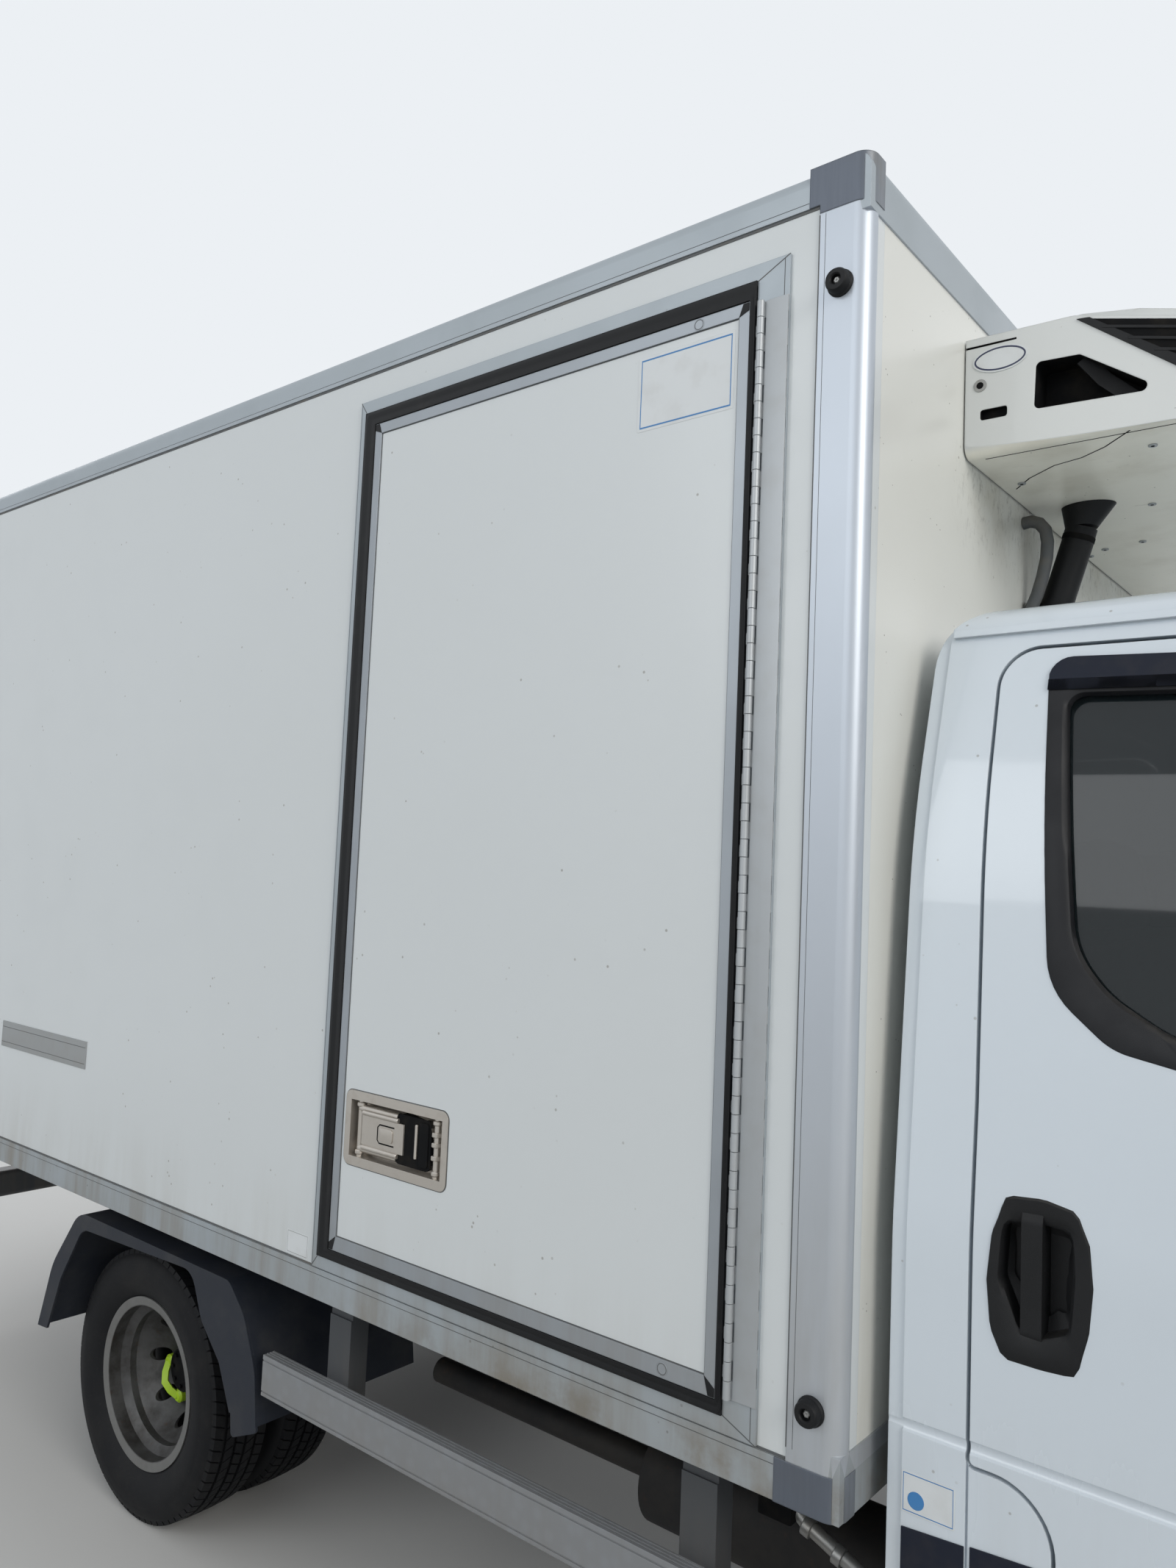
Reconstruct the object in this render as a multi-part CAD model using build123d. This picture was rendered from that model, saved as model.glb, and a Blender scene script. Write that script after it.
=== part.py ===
# Refrigerated truck: chassis-cab with an insulated box, side door and nose-mounted cooling unit.
# Millimetres. +X points forward, +Y to the left and +Z up. While the pieces are made, x is measured
# from the front face of the load box, and z from the ground. Each piece is shifted along X when it
# is written, so that the origin lies on the ground under the middle of the truck.
from build123d import *
from math import atan2, cos, hypot, pi, radians, sin
import os

# Gap at which one piece rests on another
SEAT = 0.3

# Load box
BOX_LENGTH = 4000
BOX_WIDTH = 2200
BOX_BOTTOM = 830
BOX_TOP = 2982
WALL = 60
FRONT_WALL = 80
ROOF = 80
FLOOR = 90
PROFILE_PROUD = 3
TOP_RAIL = 68
BOTTOM_RAIL = 65
FRONT_RAIL_TOP = 99
FRONT_RAIL_BOTTOM = 96
POST_ON_SIDE = 90
POST_ON_FRONT = 32
EDGE_RADIUS = 28
CASTING = (110, 53, 84)
CASTING_PROUD = 1
BEARER = (60, 50)
BEARER_COUNT = 7
BEARER_SHORT = 90
BEARER_INSET = 200

# Side door, on the right wall
DOOR_FRONT = -216
DOOR_WIDTH = 987
DOOR_SILL = 950
DOOR_HEIGHT = 1830
DOOR_THICK = 48
DOOR_EDGING = 21
DOOR_INSET = 3
DOOR_GAP = 7
FRAME_FACE = 6
FRAME_REAR_BAND = 62
FRAME_FRONT_BAND = 74
FRAME_BOTTOM_BAND = 51
FRAME_TOP_BAND = 66
FRAME_LINING = 8
STOP_DEPTH = 18
STOP_BAND = 36
SEAL_LIP = 4.5
SEAL_REACH = (40, 17, 23, 35)
HINGE_PIN_X = -192.5
KNUCKLE_RADIUS = 6.5
KNUCKLE_COUNT = 61
KNUCKLE_GAP = 1.0
BUFFER_X = -49
BUFFER_DIAMETER = 40
BUFFER_PROUD = 20

# Latch of the side door
LATCH_X = (-1172, -856)
LATCH_Z = (1138, 1295)
LATCH_RECESS = (286, 122, 30)
LATCH_BORDER_RADIUS = 18
LATCH_SKIN = 2
LATCH_BAR_RADIUS = 8
LATCH_BAR_Z = 42
LATCH_PIN_X = (-120, 117)
LATCH_BODY_X = (-2, 104)
LATCH_BODY_HEIGHT = 102
LATCH_PADDLE_X = (-107, 24)
LATCH_PADDLE_HEIGHT = 62

# Rear doors and their frame
REAR_POST = 60
REAR_FRAME_DEPTH = 60
REAR_SILL = 100
REAR_HEADER = 82
REAR_DOOR_THICK = 60
REAR_DOOR_GAP = 6
REAR_PIN_BEHIND = 40
REAR_PIN_OUT = 5
REAR_PIN_RADIUS = 8
LOCK_ROD_RADIUS = 13.5
REAR_HINGE_COUNT = 4

# Cooling unit on the front wall
UNIT_WIDTH = 1360
UNIT_BELOW_TOP = 160
UNIT_HEIGHT = 227
UNIT_DEPTH = 560
UNIT_TAPER = 30
UNIT_LID = 15
UNIT_LID_GROOVE = (4, 5)
UNIT_CHEEK = 18
UNIT_AIR_HOLE_DEPTH = 70
UNIT_SLOT_DEPTH = 14
BOOT_RADIUS = 32
BOOT_Y = -275
GRILLE_START = 193
GRILLE_COLUMNS = 5
EVAPORATOR = (420, 1200, 230)

# Running gear
WHEELBASE = 3450
REAR_AXLE_X = -2108
TYRE_DIAMETER = 699
TYRE_WIDTH = 195
RIM_DIAMETER = 406.4
RIM_FLANGE = 441
RIM_WIDTH = 140
RIM_WALL = 7
REAR_OUTER_FACE = 1000
TWIN_PITCH = 228
FRONT_TRACK = 1700
KINGPIN_INSET = 100
KINGPIN_RADIUS = 12
ARM_THICK = 24
RAIL_HALF_GAUGE = 432
RAIL_HEIGHT = 190
RAIL_FLANGE = 65
RAIL_WALL = 7
RAIL_TOP = 780
AXLE_NOSE = 230
SHAFT_RADIUS = 38
GEARBOX_REAR = 580
GEARBOX_Z = 560
BRAKE_RADIUS = 150
TOW_PITCH = (83, 56)
TOW_HOLE_RADIUS = 6.5
TOW_Z = 450

# Cab
CAB_REAR = 32
CAB_HALF_WIDTH = 1005
CAB_BOTTOM = 430
CAB_WALL = 60
CAB_FLOOR = (815, 850)
NOSE_X = 2312
NOSE_CROWN = 90
NOSE_CROWN_RADIUS = 6000
BUMPER_X = 2342
BUMPER_Z = (340, 725)
BUMPER_WALL = 70
BUMPER_HORN_Z = (610, 700)
ARCH_RADIUS = 445
ARCH_FLANGE = 35
CAB_DOOR_GAP = 6
CAB_SWAGE_Z = 967
CAB_SWAGE = (12, 5)
CAB_REAR_FLANGE = (24, 4)
GUTTER_Z = (2206, 2220)
GUTTER_PROUD = 7
HANDLE_DEPTH = 42
HANDLE_GRIP_X = (230, 260)
FIRE_WALL_X = 1560
GLASS = 6
MIRROR_REACH = 245

front_axle_x = REAR_AXLE_X + WHEELBASE
half = BOX_WIDTH / 2
axle_z = TYRE_DIAMETER / 2
panel_face = half - PROFILE_PROUD
panel_back = panel_face - WALL
rear_pin_x = -BOX_LENGTH - REAR_PIN_BEHIND
rear_reach = -rear_pin_x + REAR_PIN_RADIUS + 4
origin_x = (BUMPER_X - rear_reach) / 2
unit_top = BOX_TOP - UNIT_BELOW_TOP
unit_bottom = unit_top - UNIT_HEIGHT


# Blocks, prisms and outlines
def block(x, y, z):
    """A box from low and high corners, each given as (low, high)."""
    centre = [(min(a) + max(a)) / 2 for a in (x, y, z)]
    size = [abs(a[1] - a[0]) for a in (x, y, z)]
    return Pos(*centre) * Box(*size)


def outline(points, radius=0):
    """A flat face with straight edges; radius is one value, or one for each corner."""
    radii = list(radius) if isinstance(radius, (list, tuple)) else [radius] * len(points)
    if any(radii):
        return make_face(FilletPolyline(*points, radius=radii, close=True))
    return make_face(Polyline(*points, close=True))


def side_prism(points, y, radius=0):
    """An outline of (x, z) points, drawn out along Y between two values."""
    face = Plane.XZ * outline(points, radius)
    return Pos(0, min(y), 0) * extrude(face, amount=abs(y[1] - y[0]), dir=(0, 1, 0))


def cross_prism(points, x, radius=0):
    """An outline of (y, z) points, drawn out along X between two values."""
    face = Plane.YZ * outline(points, radius)
    return Pos(min(x), 0, 0) * extrude(face, amount=abs(x[1] - x[0]), dir=(1, 0, 0))


def plan_prism(points, z, radius=0):
    """An outline of (x, y) points, drawn out along Z between two values."""
    return Pos(0, 0, min(z)) * extrude(outline(points, radius), amount=abs(z[1] - z[0]), dir=(0, 0, 1))


def rod(start, end, radius):
    """A round bar between two points."""
    path = Vector(*end) - Vector(*start)
    plane = Plane(origin=start, z_dir=path)
    return plane * extrude(Circle(radius), amount=path.length)


def mirrored(shape):
    """The same piece on the other side of the truck."""
    return mirror(shape, about=Plane.XZ)


def both(shape):
    """A piece and its copy on the other side, joined or apart."""
    return shape + mirrored(shape)


# Load box
def castings():
    """The eight corners, as the room that each takes on its edge of the box."""
    length, across, height = CASTING
    top = BOX_TOP + CASTING_PROUD
    out = half + CASTING_PROUD
    low = BOX_BOTTOM - CASTING_PROUD
    corners = []
    for z in ((top - height, top), (low, low + height - 18)):
        corner = block((-length, CASTING_PROUD), (half - across, out), z)
        upright = corner.edges().filter_by(Axis.Z)
        outer = [e for e in upright if e.center().X > 0 and e.center().Y > half]
        corner = fillet(outer, EDGE_RADIUS)
        beside_post = (-length - 1, -POST_ON_SIDE)
        if z[1] == top:
            corner -= block(beside_post, (0, out + 1), (0, BOX_TOP - TOP_RAIL))
        else:
            corner -= block(beside_post, (0, out + 1), (BOX_BOTTOM + BOTTOM_RAIL, BOX_TOP))
        corners.append(corner)
    return corners


def make_castings():
    solids = []
    for corner in castings():
        solids += [corner, mirrored(corner)]
    return Compound(solids)


def less_castings(shape):
    for corner in castings():
        shape = shape - corner - mirrored(corner)
    return shape


def make_edge_rails():
    rear = -BOX_LENGTH + REAR_FRAME_DEPTH
    top = (BOX_TOP - TOP_RAIL, BOX_TOP)
    low = (BOX_BOTTOM, BOX_BOTTOM + BOTTOM_RAIL)
    side_top = [(panel_back, top[0]), (half, top[0]), (half, top[1]), (panel_back, top[1])]
    front_z = BOX_TOP - FRONT_RAIL_TOP
    front_top = [(-FRONT_WALL, front_z), (0, front_z), (0, BOX_TOP), (-FRONT_WALL, BOX_TOP)]
    rails = cross_prism(side_top, (rear, -FRONT_WALL), [0, 0, EDGE_RADIUS, 0])
    rails += block((rear, -FRONT_WALL), (panel_back, half), low)
    thin = PROFILE_PROUD
    post = [(-POST_ON_SIDE, half), (0, half), (0, half - POST_ON_FRONT), (-thin, half - POST_ON_FRONT),
            (-thin, half - thin), (-POST_ON_SIDE, half - thin)]
    post_radii = [0, EDGE_RADIUS, 0, 0, EDGE_RADIUS - thin, 0]
    rails += plan_prism(post, (low[1], top[0]), post_radii)
    rails = both(rails)
    across = (-half + thin, half - thin)
    rails += side_prism(front_top, across, [0, 0, EDGE_RADIUS, 0])
    rails += block((-FRONT_WALL, 0), across, (BOX_BOTTOM, BOX_BOTTOM + FRONT_RAIL_BOTTOM))
    return less_castings(rails)


def side_panel():
    """The left wall, between the rails, with its front edge rounded under the corner post."""
    panel = block((-BOX_LENGTH + REAR_FRAME_DEPTH, -PROFILE_PROUD), (panel_back, panel_face),
                  (BOX_BOTTOM + BOTTOM_RAIL, BOX_TOP - TOP_RAIL))
    upright = panel.edges().filter_by(Axis.Z)
    corner = [e for e in upright if e.center().X > -FRONT_WALL and e.center().Y > panel_back + 1]
    panel = fillet(corner, EDGE_RADIUS - PROFILE_PROUD)
    low = block((-FRONT_WALL, 0), (panel_back, half), (BOX_BOTTOM, BOX_BOTTOM + FRONT_RAIL_BOTTOM))
    high = block((-FRONT_WALL, 0), (panel_back, half), (BOX_TOP - FRONT_RAIL_TOP, BOX_TOP))
    return less_castings(panel - low - high)


door_rear = DOOR_FRONT - DOOR_WIDTH
door_top = DOOR_SILL + DOOR_HEIGHT
lining_x = (door_rear - DOOR_GAP, DOOR_FRONT + DOOR_GAP)
lining_z = (DOOR_SILL - DOOR_GAP, door_top + DOOR_GAP)
frame_face_y = -(panel_face + FRAME_FACE)
hinge_pin_y = frame_face_y - KNUCKLE_RADIUS - 1
door_face_y = hinge_pin_y + 2


def grown(span, by):
    return (span[0] - by, span[1] + by)


def make_side_right():
    hole_x = grown(lining_x, FRAME_LINING)
    hole = block(hole_x, (-half - 1, -panel_back + 1), grown(lining_z, FRAME_LINING))
    return mirrored(side_panel()) - hole


def make_side_door_frame():
    """The frame lines the doorway, laps the wall outside, and stops the door inside."""
    outer_x = (door_rear - FRAME_REAR_BAND, DOOR_FRONT + FRAME_FRONT_BAND)
    outer_z = (DOOR_SILL - FRAME_BOTTOM_BAND, door_top + FRAME_TOP_BAND)
    through = (-half - 50, -panel_back + 50)
    frame = block(outer_x, (frame_face_y, -panel_face), outer_z)
    tube_x = grown(lining_x, FRAME_LINING)
    frame += block(tube_x, (-panel_face, -panel_back), grown(lining_z, FRAME_LINING))
    stop_y = -panel_back - STOP_DEPTH
    frame -= block(lining_x, (-half - 50, stop_y), lining_z)
    frame -= block(grown(lining_x, -STOP_BAND), through, grown(lining_z, -STOP_BAND))
    for low, high in knuckle_spans(0):
        frame += hinge_knuckle(low, high, (HINGE_PIN_X, outer_x[1]))
    return frame


def knuckle_spans(first):
    """Every second knuckle of the piano hinge, from the first or the second one."""
    pitch = (DOOR_HEIGHT - 2 * DOOR_GAP) / KNUCKLE_COUNT
    start = DOOR_SILL + DOOR_GAP
    return [(start + n * pitch + KNUCKLE_GAP / 2, start + (n + 1) * pitch - KNUCKLE_GAP / 2)
            for n in range(first, KNUCKLE_COUNT, 2)]


def hinge_knuckle(low, high, wing_x):
    """One knuckle round the pin, with the flat wing that carries it."""
    knuckle = Pos(HINGE_PIN_X, hinge_pin_y, (low + high) / 2) * Cylinder(KNUCKLE_RADIUS, high - low)
    wing = block(wing_x, (hinge_pin_y + KNUCKLE_RADIUS - 2, frame_face_y if wing_x[0] >= HINGE_PIN_X
                          else hinge_pin_y + KNUCKLE_RADIUS), (low, high))
    return knuckle + wing


def make_side_door():
    """The insulated leaf with its edging, its lip seal and the moving half of the hinge."""
    leaf = block((door_rear, DOOR_FRONT), (door_face_y, door_face_y + DOOR_THICK), (DOOR_SILL, door_top))
    inset_x = (door_rear + DOOR_EDGING, DOOR_FRONT - DOOR_EDGING)
    inset_z = (DOOR_SILL + DOOR_EDGING + 9, door_top - DOOR_EDGING - 2)
    leaf -= block(inset_x, (door_face_y - 1, door_face_y + DOOR_INSET), inset_z)
    rear, front, low, high = SEAL_REACH
    seal_y = (frame_face_y - 0.5 - SEAL_LIP, frame_face_y - 0.5)
    seal = block((door_rear - rear, DOOR_FRONT + front), seal_y, (DOOR_SILL - low, door_top + high))
    seal -= block((door_rear, HINGE_PIN_X + 60), (seal_y[0] - 1, seal_y[1] + 1), (DOOR_SILL, door_top))
    seal -= block((HINGE_PIN_X - KNUCKLE_RADIUS - 5, 0), (seal_y[0] - 1, seal_y[1] + 1), (0, BOX_TOP))
    leaf += seal
    for low, high in knuckle_spans(1):
        leaf += hinge_knuckle(low, high, (DOOR_FRONT - 1, HINGE_PIN_X))
    recess_x, recess_z, recess_depth = LATCH_RECESS
    middle_x = sum(LATCH_X) / 2
    middle_z = sum(LATCH_Z) / 2
    dish_x = (middle_x - recess_x / 2, middle_x + recess_x / 2)
    dish_z = (middle_z - recess_z / 2, middle_z + recess_z / 2)
    return leaf - block(dish_x, (door_face_y - 1, door_face_y + DOOR_INSET + recess_depth), dish_z)


def make_side_door_latch():
    """The stainless dish with its pins, its two bars, the paddle and the lock's body."""
    recess_x, recess_z, recess_depth = LATCH_RECESS
    middle_x = sum(LATCH_X) / 2
    middle_z = sum(LATCH_Z) / 2
    skin = LATCH_SKIN
    face = door_face_y + DOOR_INSET
    border = [(LATCH_X[0], LATCH_Z[0]), (LATCH_X[1], LATCH_Z[0]),
              (LATCH_X[1], LATCH_Z[1]), (LATCH_X[0], LATCH_Z[1])]
    plate = side_prism(border, (face - skin, face), LATCH_BORDER_RADIUS)
    dish_x = (middle_x - recess_x / 2, middle_x + recess_x / 2)
    dish_z = (middle_z - recess_z / 2, middle_z + recess_z / 2)
    latch = plate + block(dish_x, (face, face + recess_depth), dish_z)
    latch -= block(grown(dish_x, -skin), (face - 10, face + recess_depth - skin), grown(dish_z, -skin))
    floor_y = face + recess_depth - skin + 1
    bar_y = face + LATCH_BAR_RADIUS + 3
    for x in LATCH_PIN_X:
        pin_x = middle_x + x
        latch += rod((pin_x, bar_y, dish_z[0] + 1), (pin_x, bar_y, dish_z[1] - 1), LATCH_BAR_RADIUS - 1)
    bar_x = (middle_x + LATCH_PIN_X[0], middle_x + LATCH_BODY_X[0] + 3)
    for z in (middle_z - LATCH_BAR_Z, middle_z + LATCH_BAR_Z):
        latch += rod((bar_x[0], bar_y, z), (bar_x[1], bar_y, z), LATCH_BAR_RADIUS)
    body_x = (middle_x + LATCH_BODY_X[0], middle_x + LATCH_BODY_X[1])
    tall = LATCH_BODY_HEIGHT / 2
    body = block(body_x, (face + 5, floor_y), (middle_z - tall, middle_z + tall))
    latch += fillet(body.edges().filter_by(Axis.Y), 14)
    paddle_x = (middle_x + LATCH_PADDLE_X[0], middle_x + LATCH_PADDLE_X[1])
    tall = LATCH_PADDLE_HEIGHT / 2
    latch += block(paddle_x, (face + 2, face + 6), (middle_z - tall, middle_z + tall))
    latch += block((paddle_x[0] + 25, paddle_x[1] - 40), (face + 5, floor_y), (middle_z - 12, middle_z + 12))
    return latch


def make_door_buffers():
    buffers = []
    for z in (DOOR_SILL + 32, door_top - 15):
        pad = rod((BUFFER_X, -half, z), (BUFFER_X, -half - BUFFER_PROUD, z), BUFFER_DIAMETER / 2)
        buffers.append(chamfer(pad.edges().group_by(Axis.Y)[0], 3))
    return Compound(buffers)


def make_box_floor():
    """The floor panel on its cross bearers, which lie across the chassis rails."""
    rear = -BOX_LENGTH + REAR_FRAME_DEPTH
    floor = block((rear, -FRONT_WALL), (-panel_back, panel_back), (BOX_BOTTOM, BOX_BOTTOM + FLOOR))
    width, height = BEARER
    pitch = (BOX_LENGTH - 2 * BEARER_INSET) / (BEARER_COUNT - 1)
    reach = panel_back - BEARER_SHORT
    for n in range(BEARER_COUNT):
        x = -BEARER_INSET - n * pitch
        floor += block((x - width / 2, x + width / 2), (-reach, reach), (BOX_BOTTOM - height, BOX_BOTTOM))
    return floor


def make_box_roof():
    rear = -BOX_LENGTH + REAR_FRAME_DEPTH
    top = BOX_TOP - PROFILE_PROUD
    return block((rear, -FRONT_WALL), (-panel_back, panel_back), (top - ROOF, top))


def make_front_wall():
    z = (BOX_BOTTOM + FRONT_RAIL_BOTTOM, BOX_TOP - FRONT_RAIL_TOP)
    return block((-FRONT_WALL, -PROFILE_PROUD), (-panel_back, panel_back), z)


# Rear frame and doors
rear_opening_y = half - REAR_POST
rear_opening_z = (BOX_BOTTOM + REAR_SILL, BOX_TOP - REAR_HEADER)
rear_pin_y = half + REAR_PIN_OUT


def rear_hinge_heights():
    low, high = rear_opening_z
    pitch = (high - low - 400) / (REAR_HINGE_COUNT - 1)
    return [low + 200 + n * pitch for n in range(REAR_HINGE_COUNT)]


def make_rear_frame():
    """The portal round the rear doors, with the fixed lugs of their hinges."""
    x = (-BOX_LENGTH, -BOX_LENGTH + REAR_FRAME_DEPTH)
    frame = block(x, (-half, half), (BOX_BOTTOM, BOX_TOP))
    frame -= block(grown(x, 1), (-rear_opening_y, rear_opening_y), rear_opening_z)
    for z in rear_hinge_heights():
        for side in (-1, 1):
            low = z + side * 45 - 15
            lug_y = (half - 22, rear_pin_y + REAR_PIN_RADIUS)
            lug = block((rear_pin_x, -BOX_LENGTH), lug_y, (low, low + 30))
            lug += Pos(rear_pin_x, rear_pin_y, low + 15) * Cylinder(REAR_PIN_RADIUS + 4, 30)
            frame += both(lug)
    return frame


def rear_door():
    """The left leaf, with its hinge blades, lock rods, cams and handles."""
    y = (REAR_DOOR_GAP - 1, rear_opening_y - REAR_DOOR_GAP)
    z = (rear_opening_z[0] + REAR_DOOR_GAP, rear_opening_z[1] - REAR_DOOR_GAP)
    leaf = block((-BOX_LENGTH, -BOX_LENGTH + REAR_DOOR_THICK), y, z)
    for height in rear_hinge_heights():
        span = (height - 30 + SEAT, height + 30 - SEAT)
        blade = block((rear_pin_x + 1, rear_pin_x + 9), (y[1] - 130, rear_pin_y), span)
        blade += block((rear_pin_x + 1, -BOX_LENGTH), (y[1] - 130, y[1] - 60), span)
        blade += Pos(rear_pin_x, rear_pin_y, height) * Cylinder(REAR_PIN_RADIUS, span[1] - span[0])
        leaf += blade
    for share in (0.28, 0.80):
        rod_y = y[0] + share * (y[1] - y[0])
        rod_x = -BOX_LENGTH - LOCK_ROD_RADIUS - 7
        leaf += rod((rod_x, rod_y, z[0] + 15), (rod_x, rod_y, z[1] - 15), LOCK_ROD_RADIUS)
        for level in (0.03, 0.25, 0.5, 0.75, 0.97):
            mid = z[0] + level * (z[1] - z[0])
            leaf += block((rod_x, -BOX_LENGTH), (rod_y - 32, rod_y + 32), (mid - 22, mid + 22))
        handle_z = z[0] + 330
        leaf += block((rod_x - 8, rod_x + 2), (rod_y - 200, rod_y), (handle_z - 14, handle_z + 14))
    return leaf


# Cooling unit
def unit_outline(inset):
    top = unit_top - inset
    low = unit_bottom + inset
    nose = UNIT_DEPTH - inset
    lip = unit_bottom + 50 + 0.3 * inset
    brow = unit_bottom + 95 - 0.5 * inset
    return [(inset, low), (nose - 75, low), (nose, lip), (nose, brow), (nose - 130, top - 62),
            (GRILLE_START, top), (inset, top)]


def unit_plan(inset):
    """Plan view of the cover: its sides draw in a little towards the rounded front corners."""
    w = UNIT_WIDTH / 2 - inset
    front = UNIT_DEPTH - inset
    points = [(-inset, -w), (front, UNIT_TAPER - w), (front, w - UNIT_TAPER), (-inset, w)]
    return plan_prism(points, (unit_bottom - 1, unit_top + 30), [0, 130 - inset, 130 - inset, 0])


def unit_form(inset):
    w = UNIT_WIDTH / 2
    return side_prism(unit_outline(inset), (-w, w), [0, 40, 20, 20, 60, 60, 0]) & unit_plan(inset)


# Outline of the side's air hole and of the slot below the lock, (x from the wall, z above the foot)
air_hole = [(126, 67), (338, 60), (204, 152), (129, 155)]
lock_slot = [(29, 65), (78, 65), (78, 85), (29, 85)]


def above_foot(points):
    return [(x, unit_bottom + z) for x, z in points]


def make_unit_housing():
    """A moulded cover with a lid, an air hole in each side and a wide mouth in its sloping front."""
    w = UNIT_WIDTH / 2
    across = [(-w, unit_bottom), (w, unit_bottom), (w, unit_top), (-w, unit_top)]
    body = unit_form(0) & cross_prism(across, (0, UNIT_DEPTH), [24, 24, 0, 0])
    height, depth = UNIT_LID_GROOVE
    groove_z = (unit_top - UNIT_LID - height, unit_top - UNIT_LID)
    ring = block((-1, GRILLE_START), (-w - 1, w + 1), groove_z)
    body -= ring - block((-2, GRILLE_START + 1), (-w + depth, w - depth), grown(groove_z, 1))
    for y in (-w, w - UNIT_AIR_HOLE_DEPTH):
        body -= side_prism(above_foot(air_hole), (y, y + UNIT_AIR_HOLE_DEPTH), 10)
    for y in (-w, w - UNIT_SLOT_DEPTH):
        body -= side_prism(above_foot(lock_slot), (y, y + UNIT_SLOT_DEPTH), 5)
    return body - unit_mouth(0)


def unit_mouth(gap):
    """The room behind the cover's slats."""
    start = GRILLE_START + 12 + gap
    w = UNIT_WIDTH / 2
    low = unit_bottom + gap
    points = [(start, unit_top + 20), (start, unit_top - 70 + gap), (UNIT_DEPTH - 60, low + 60),
              (UNIT_DEPTH + 20, low + 70), (UNIT_DEPTH + 20, unit_top + 20)]
    inside = unit_plan(UNIT_CHEEK + gap) & block((start, UNIT_DEPTH), (-w, w), (0, BOX_TOP))
    return side_prism(points, (-w, w)) & inside


def make_unit_grille():
    """A moulded frame over the mouth, with rows of wide openings."""
    w = UNIT_WIDTH / 2 - UNIT_CHEEK - UNIT_TAPER - 30
    skin = (unit_form(3) - unit_form(28)) & unit_mouth(SEAT)
    pitch = 2 * w / GRILLE_COLUMNS
    for x in ((240, 318), (342, 420), (446, 512)):
        for n in range(GRILLE_COLUMNS):
            y = -w + n * pitch
            skin -= block(x, (y + 11, y + pitch - 11), (unit_bottom, unit_top + 1))
    return skin


def make_evaporator():
    depth, width, height = EVAPORATOR
    top = BOX_TOP - PROFILE_PROUD - ROOF
    shape = [(-FRONT_WALL, top), (-FRONT_WALL - depth, top), (-FRONT_WALL - depth, top - 60),
             (-FRONT_WALL - depth + 130, top - height), (-FRONT_WALL, top - height)]
    return side_prism(shape, (-width / 2, width / 2), [0, 0, 20, 20, 0])


def make_unit_hose():
    """The boot that leads the pipes from under the cover down to the wall, wide where it starts."""
    top = unit_bottom - SEAT
    y = BOOT_Y
    face = SEAT - PROFILE_PROUD
    route = [(98, y, top - 45), (90, y, top - 75), (50, y, top - 205), (-40, y, top - 290)]
    path = FilletPolyline(*route, radius=[90, 60])
    start = Plane(origin=route[0], z_dir=(-8, 0, -30))
    rim = Plane(origin=(112, y, top)) * Ellipse(54, 40)
    cuff = loft([rim, Plane(origin=route[0]) * Circle(BOOT_RADIUS)])
    boot = cuff + sweep(start * Circle(BOOT_RADIUS), path=path)
    return boot - block((-200, face), (y - 100, y + 100), (top - 500, top))


# Chassis
def rail_section(y_out, y_in):
    """A channel that opens inwards."""
    top = RAIL_TOP
    low = RAIL_TOP - RAIL_HEIGHT
    web = y_out - RAIL_WALL
    return [(y_out, low), (y_out, top), (y_in, top), (y_in, top - RAIL_WALL), (web, top - RAIL_WALL),
            (web, low + RAIL_WALL), (y_in, low + RAIL_WALL), (y_in, low)]


rail_front = 2060
rail_rear = -BOX_LENGTH + 90
cross_members = (1960, 480, -620, REAR_AXLE_X + 548, REAR_AXLE_X - 592, rail_rear + 50)
cab_mounts = (120, 1080)


def make_chassis_frame():
    """Two channels with a horn each for the bumper, the cross members between them and the cab's pads."""
    web = RAIL_HALF_GAUGE - RAIL_WALL
    bumper_back = BUMPER_X - BUMPER_WALL - web ** 2 / (2 * NOSE_CROWN_RADIUS) - SEAT
    channel = rail_section(RAIL_HALF_GAUGE, RAIL_HALF_GAUGE - RAIL_FLANGE)
    rail = cross_prism(channel, (rail_rear, rail_front))
    rail += block((rail_front - 60, bumper_back), (web - 60, web), BUMPER_HORN_Z)
    solids = [rail, mirrored(rail)]
    reach = web - SEAT
    member_z = (RAIL_TOP - RAIL_HEIGHT + 35, RAIL_TOP - 35)
    for x in cross_members:
        solids.append(block((x - 30, x + 30), (-reach, reach), member_z))
    pad_y = RAIL_HALF_GAUGE - RAIL_FLANGE / 2
    for x in cab_mounts:
        pad = rod((x, pad_y, RAIL_TOP + SEAT), (x, pad_y, CAB_FLOOR[0]), 28)
        solids += [pad, mirrored(pad)]
    return Compound(solids)


spring_y = RAIL_HALF_GAUGE + 75


def make_leaf_springs():
    """Each spring is four leaves, clamped on the axle and hung from two brackets on the rail."""
    eye_z = RAIL_TOP - RAIL_HEIGHT + 20
    solids = None
    for n, reach in enumerate((600, 470, 340, 210)):
        z = axle_z + 120 - n * 16
        rise = (eye_z - axle_z - 120) * (reach / 600) ** 2
        under = [(-reach, z + rise), (0, z), (reach, z + rise)]
        over = [(x, height + 16) for x, height in reversed(under)]
        leaf = side_prism(under + over, (spring_y - 35, spring_y + 35), [0, 900, 0, 0, 900, 0])
        solids = leaf if solids is None else solids + leaf
    clamp_low = axle_z + 50
    solids += block((-60, 60), (spring_y - 45, spring_y + 45), (clamp_low, axle_z + 150))
    for side in (-1, 1):
        bracket_x = (side * 600 - 35, side * 600 + 35)
        solids += block(bracket_x, (RAIL_HALF_GAUGE, spring_y + 35), (eye_z - 15, RAIL_TOP - 30))
    return both(Pos(REAR_AXLE_X, 0, 0) * solids)


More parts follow.
